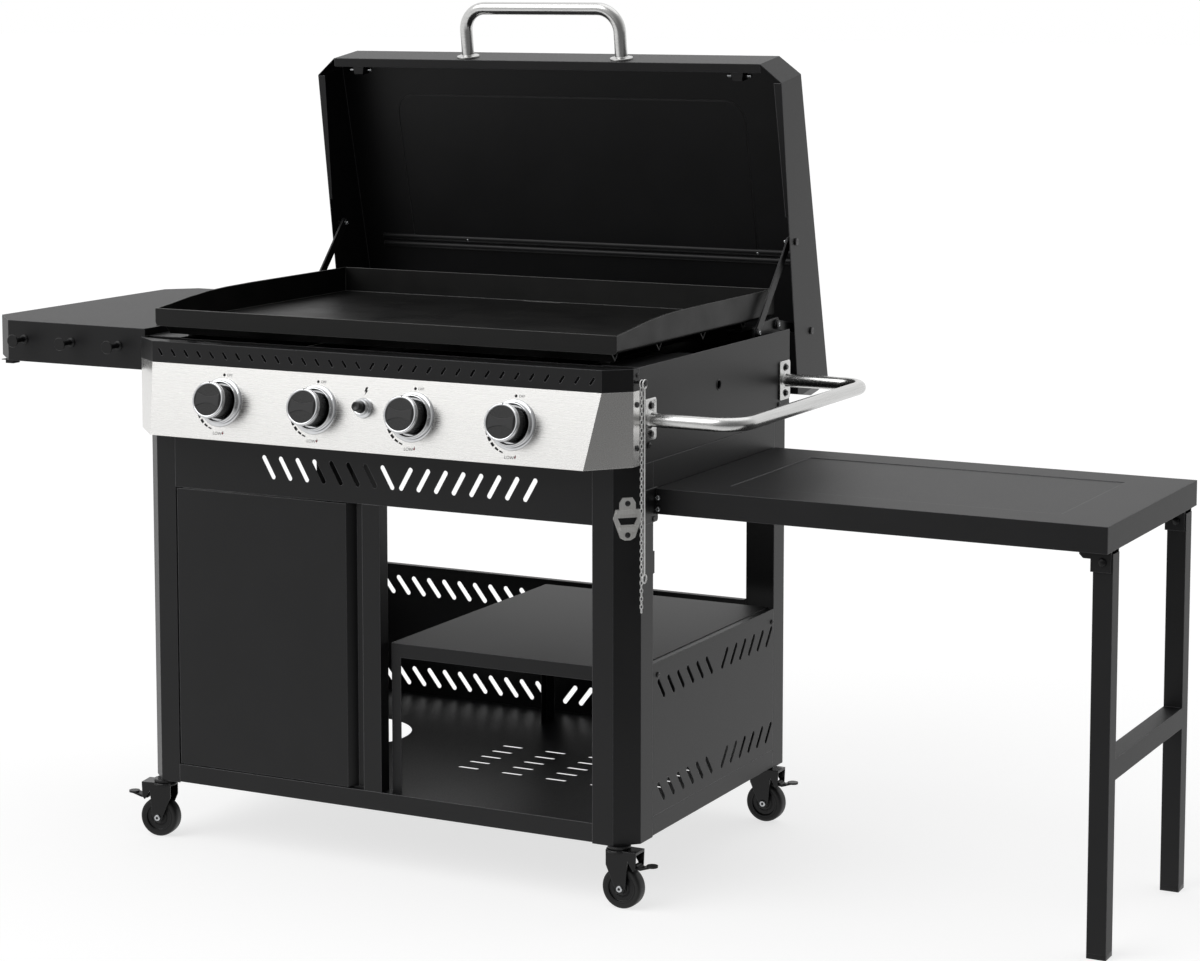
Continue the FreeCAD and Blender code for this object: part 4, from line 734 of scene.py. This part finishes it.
for y in HANDLE_Y:
    for up in (-22, 22):
        place = where(BODY_MM, y, HANDLE_Z + up, RIGHT)
        turned(flange_bolts, [(0, 2.9), (6.4, 2.9), (6.4, 3.7), (6, 4.1), (0, 4.1)], place, 32)
        hex_nut(flange_bolts, 8, 3.4, place @ Matrix.Translation((0, 0, 4)))
put("handle_bolts", flange_bolts, blacked_steel, "cart")

# Bottle opener: cast zinc, tumbled and nickel plated, so its edges are soft. Two cross
# head screws hold it to the post's bevelled face.

OPENER = where(BODY_MM - 16, 16, 623, facing((1, -1, 0)))
tumbled_nickel = metal("nickel_plated_casting", "#e2e1de", 0.42, 3, "z", 0.05, 0.1, 0.55)
dress(tumbled_nickel, "bottle_opener")
opener_screws = bmesh.new()
for up in (9, -40):
    cross_head(opener_screws, 4.4, 2.2, OPENER @ Matrix.Translation((0, up, 2.2)))
put("opener_screws", opener_screws, blacked_steel, "cart")

# Left shelf: a shallow pan of folded sheet, face up, bolted to the body's wall. Three
# hooks of moulded nylon are pushed through its front edge; each has a round base, a
# short peg and a disc that keeps a tool from slipping off.

SHELF_TOP = 853
SHELF_Y = 16
HOOKS_X = (-250, -152, -55)
HOOK_Z = 822
HOOK = [(0, 0), (8, 0), (8, 1.4), (7, 2.2), (5, 2.8), (4.2, 4.4), (4, 8), (4, 27), (4.6, 29.2),
        (9.8, 30), (10.9, 31), (11, 32), (10.2, 33), (0, 33)]
SHELF_SCREWS_X, SHELF_SCREWS_Y = -9, (66, 94, 122, 478, 506, 534)
dress(fine_coat, "left_shelf")
hooks = bmesh.new()
for x in HOOKS_X:
    turned(hooks, HOOK, where(x, SHELF_Y, HOOK_Z, FRONT), 40)
put("tool_hooks", hooks, hub_nylon, "cart", instead_of=["shelf_hooks"])
shelf_screws = bmesh.new()
for y in SHELF_SCREWS_Y:
    cross_head(shelf_screws, 3.4, 1.6, where(SHELF_SCREWS_X, y, SHELF_TOP))
put("shelf_screws", shelf_screws, blacked_steel, "cart")

# Right table: a folded pan whose top has a shallow sunk field, on square tube legs
# that turn on pins between pairs of ears. The legs' feet wear moulded caps, and the
# pins have domed heads.

TABLE_X, TABLE_W, TABLE_Y, TABLE_D = 912, 722, 79, 457
LEG_W = 30
LEGS_Y = (TABLE_Y + 27, TABLE_Y + TABLE_D - 27 - LEG_W)
LEG_X = TABLE_X + TABLE_W - LEG_W / 2
LEG_PIVOT = 590
EAR_OUT = 3.5            # from a leg's face to its ear's outer face
HOOK_PLATE_Z = 622
dress(fine_coat, "table_top", "table_leg_ears", "table_leg_frame")
# the plate that the table hooks into lies on the cart's side, beside the post
hook_plate = bmesh.new()
outline = [tuple(point) for point in rounded([(36, -27), (88, -27), (88, 27), (36, 27)], 5)]
stack(hook_plate, [(outline, 0.1), (outline, 1.1), (scaled(outline, 0.995), 1.5)],
      where(BODY_MM, 0, HOOK_PLATE_Z, RIGHT))
put("table_hook_plate", hook_plate, satin_coat, "cart", 30)
table_screws = bmesh.new()
for z in (633, 615):
    cross_head(table_screws, 4.2, 2.2, where(TABLE_X + 4, TABLE_Y - 2, z, FRONT))
put("table_screws", table_screws, bright_zinc, "cart")
caps = bmesh.new()
for y in LEGS_Y:
    square = rounded([(-15, -15), (15, -15), (15, 15), (-15, 15)], 2.5, 4)
    square = [tuple(point) for point in square]
    place = where(LEG_X, y + LEG_W / 2, LIFT_MM)
    stack(caps, [(scaled(square, 0.97), 0.1), (scaled(square, 1.012), 1), (scaled(square, 1.012), 7.4),
                 (scaled(square, 1.002), 8)], place)
put("leg_caps", caps, hub_nylon, "table_legs")
pivots = bmesh.new()
for y in LEGS_Y:
    for far, way in ((y - EAR_OUT, (0, -1, 0)), (y + LEG_W + EAR_OUT, (0, 1, 0))):
        turned(pivots, [(6, 0.8), (6.2, 1.4), (5.6, 2.6), (3.8, 3.4), (0, 3.6)],
               where(LEG_X, far, LEG_PIVOT, facing(way)), 32)
put("leg_pivot_heads", pivots, gloss_enamel, "table_legs")

# Match chain and lighting rod: both hang from the stud on the body's right end. The
# chain is of bright plated wire: its links are smaller and closer than the CAD's, and
# their wire is thicker. The rod is drawn steel with an eye at each end.

chain_nickel = metal("nickel_plated_wire", "#f4f4f3", 0.3, 20, "z", 0.04, 0.02, 0.4)
RING = (919, 15, 820)
RING_R, RING_WIRE, RING_DROP = 6.2, 0.9, 2.4
LINK_STEP, LINK_LONG, LINK_WIDE, WIRE_R = 6.2, 8.8, 5.8, 0.95
LINK_COUNT, FIRST_LINK = 56, 11.6
ACROSS_LINK = Vector((0, 1, 0))
links = bmesh.new()
section = [(RING_R + RING_WIRE * math.cos(math.tau * k / 10), RING_WIRE * math.sin(math.tau * k / 10))
           for k in range(11)]
turned(links, section, where(RING[0], RING[1], RING[2] - RING_DROP, RIGHT), 40)
for number in range(LINK_COUNT):
    reach = LINK_WIDE / 2 - WIRE_R
    half = LINK_LONG / 2 - WIRE_R - reach
    route = [(reach * math.cos(math.pi * k / 8), 0, half + reach * math.sin(math.pi * k / 8))
             for k in range(9)]
    route += [(-x, 0, -z) for x, y, z in route]
    turn = Matrix.Rotation(math.radians(45 + 90 * (number % 2)), 3, "Z")
    place = where(RING[0], RING[1], RING[2] - FIRST_LINK - number * LINK_STEP, turn)
    rings = []
    for k, point in enumerate(route):
        ahead = Vector(route[(k + 1) % len(route)]) - Vector(route[k - 1])
        side = ahead.normalized().cross(ACROSS_LINK)
        angles = [math.tau * j / 6 for j in range(6)]
        offsets = [(side * math.cos(a) + ACROSS_LINK * math.sin(a)) * WIRE_R for a in angles]
        rings.append([links.verts.new(place @ (Vector(point) + offset)) for offset in offsets])
    for one, two in zip(rings, rings[1:] + rings[:1]):
        for j in range(6):
            links.faces.new((one[j - 1], one[j], two[j], two[j - 1]))
put("chain_links", links, chain_nickel, "lighting_set", 60, instead_of=["match_chain"])
dress(chain_nickel, "lighting_rod")

# The studio: a pale floor without an edge, a white surround that is dimmer on one
# side, and two broad lamps, one high at the left front and one over the back.

DIM_SIDE = (0.80, -0.60, 0.0)
floor_mesh = bpy.data.meshes.new("floor")
FLOOR_HALF = 60          # metres
square = [(x * FLOOR_HALF, y * FLOOR_HALF, 0) for x, y in ((-1, -1), (1, -1), (1, 1), (-1, 1))]
floor_mesh.from_pydata(square, [], [(0, 1, 2, 3)])
floor = bpy.data.objects.new("floor", floor_mesh)
bpy.context.scene.collection.objects.link(floor)
paper, tree = new_material("pale_seamless_paper")
seen = add(tree, "LightPath")
straight = add(tree, "Math", {0: seen.outputs["Is Glossy Ray"], 1: seen.outputs["Is Transmission Ray"]},
               operation="MAXIMUM").outputs[0]
place = add(tree, "TexCoord").outputs["Object"]
off_side = add(tree, "VectorMath", {0: place, 1: DIM_SIDE}, operation="DOT_PRODUCT").outputs["Value"]
sheen = spread(tree, off_side, 1.0, 0.19, 0.6, 2.8)
lit = add(tree, "BsdfDiffuse", {"Color": linear("#a8a8a8")})
glow = add(tree, "Emission", {"Color": linear("#ffffff"), "Strength": 0.72})
both = add(tree, "AddShader", {0: lit.outputs[0], 1: glow.outputs[0]})
reflected = add(tree, "Emission", {"Color": linear("#ffffff"), "Strength": sheen})
shown = add(tree, "MixShader", {0: seen.outputs["Is Camera Ray"], 1: lit.outputs[0], 2: both.outputs[0]})
shown = add(tree, "MixShader", {0: straight, 1: shown.outputs[0], 2: reflected.outputs[0]})
add(tree, "OutputMaterial", {"Surface": shown.outputs[0]})
floor_mesh.materials.append(paper)

world = bpy.data.worlds.new("studio")
bpy.context.scene.world = world
world.use_nodes = True
tree = world.node_tree
tree.nodes.clear()
seen = add(tree, "LightPath")
around = add(tree, "TexCoord").outputs["Generated"]
dim_share = add(tree, "VectorMath", {0: around, 1: DIM_SIDE}, operation="DOT_PRODUCT").outputs["Value"]
fall = spread(tree, dim_share, 1.0, 0.2, -0.1, 0.95)
soft_light = add(tree, "Math", {0: fall, 1: 0.55}, operation="MULTIPLY").outputs[0]
filling = add(tree, "Background", {"Color": linear("#ffffff"), "Strength": soft_light})
mirrored = add(tree, "Background", {"Color": linear("#ffffff"), "Strength": fall})
white = add(tree, "Background", {"Color": linear("#ffffff"), "Strength": 1.0})
glossy = add(tree, "Math", {0: seen.outputs["Is Glossy Ray"], 1: seen.outputs["Is Transmission Ray"]},
             operation="MAXIMUM").outputs[0]
surround = add(tree, "MixShader", {0: glossy, 1: filling.outputs[0], 2: mirrored.outputs[0]})
surround = add(tree, "MixShader", {0: seen.outputs["Is Camera Ray"], 1: surround.outputs[0],
                                   2: white.outputs[0]})
add(tree, "OutputWorld", {"Surface": surround.outputs[0]})


def lamp(name, towards, strength, spread_degrees):
    """A broad even lamp, far off, shining along a direction."""
    light = bpy.data.lights.new(name, "SUN")
    light.energy = strength
    light.angle = math.radians(spread_degrees)
    item = bpy.data.objects.new(name, light)
    bpy.context.scene.collection.objects.link(item)
    item.rotation_euler = Vector(towards).to_track_quat("-Z", "Y").to_euler()


lamp("key", (2.5, 3.5, -4.2), 1.1, 50)
lamp("top", (-0.6, -1.2, -4.0), 0.42, 60)

camera = bpy.data.objects.new("camera", bpy.data.cameras.new("camera"))
bpy.context.scene.collection.objects.link(camera)
camera.location = (2.26943, -4.35104, 1.42916)
camera.rotation_euler = (math.radians(83.882), 0, math.radians(27.172))
camera.data.sensor_width = 36
camera.data.lens = 89.586
camera.data.shift_y = -0.15
bpy.context.scene.camera = camera
bpy.context.scene.view_settings.view_transform = "Standard"
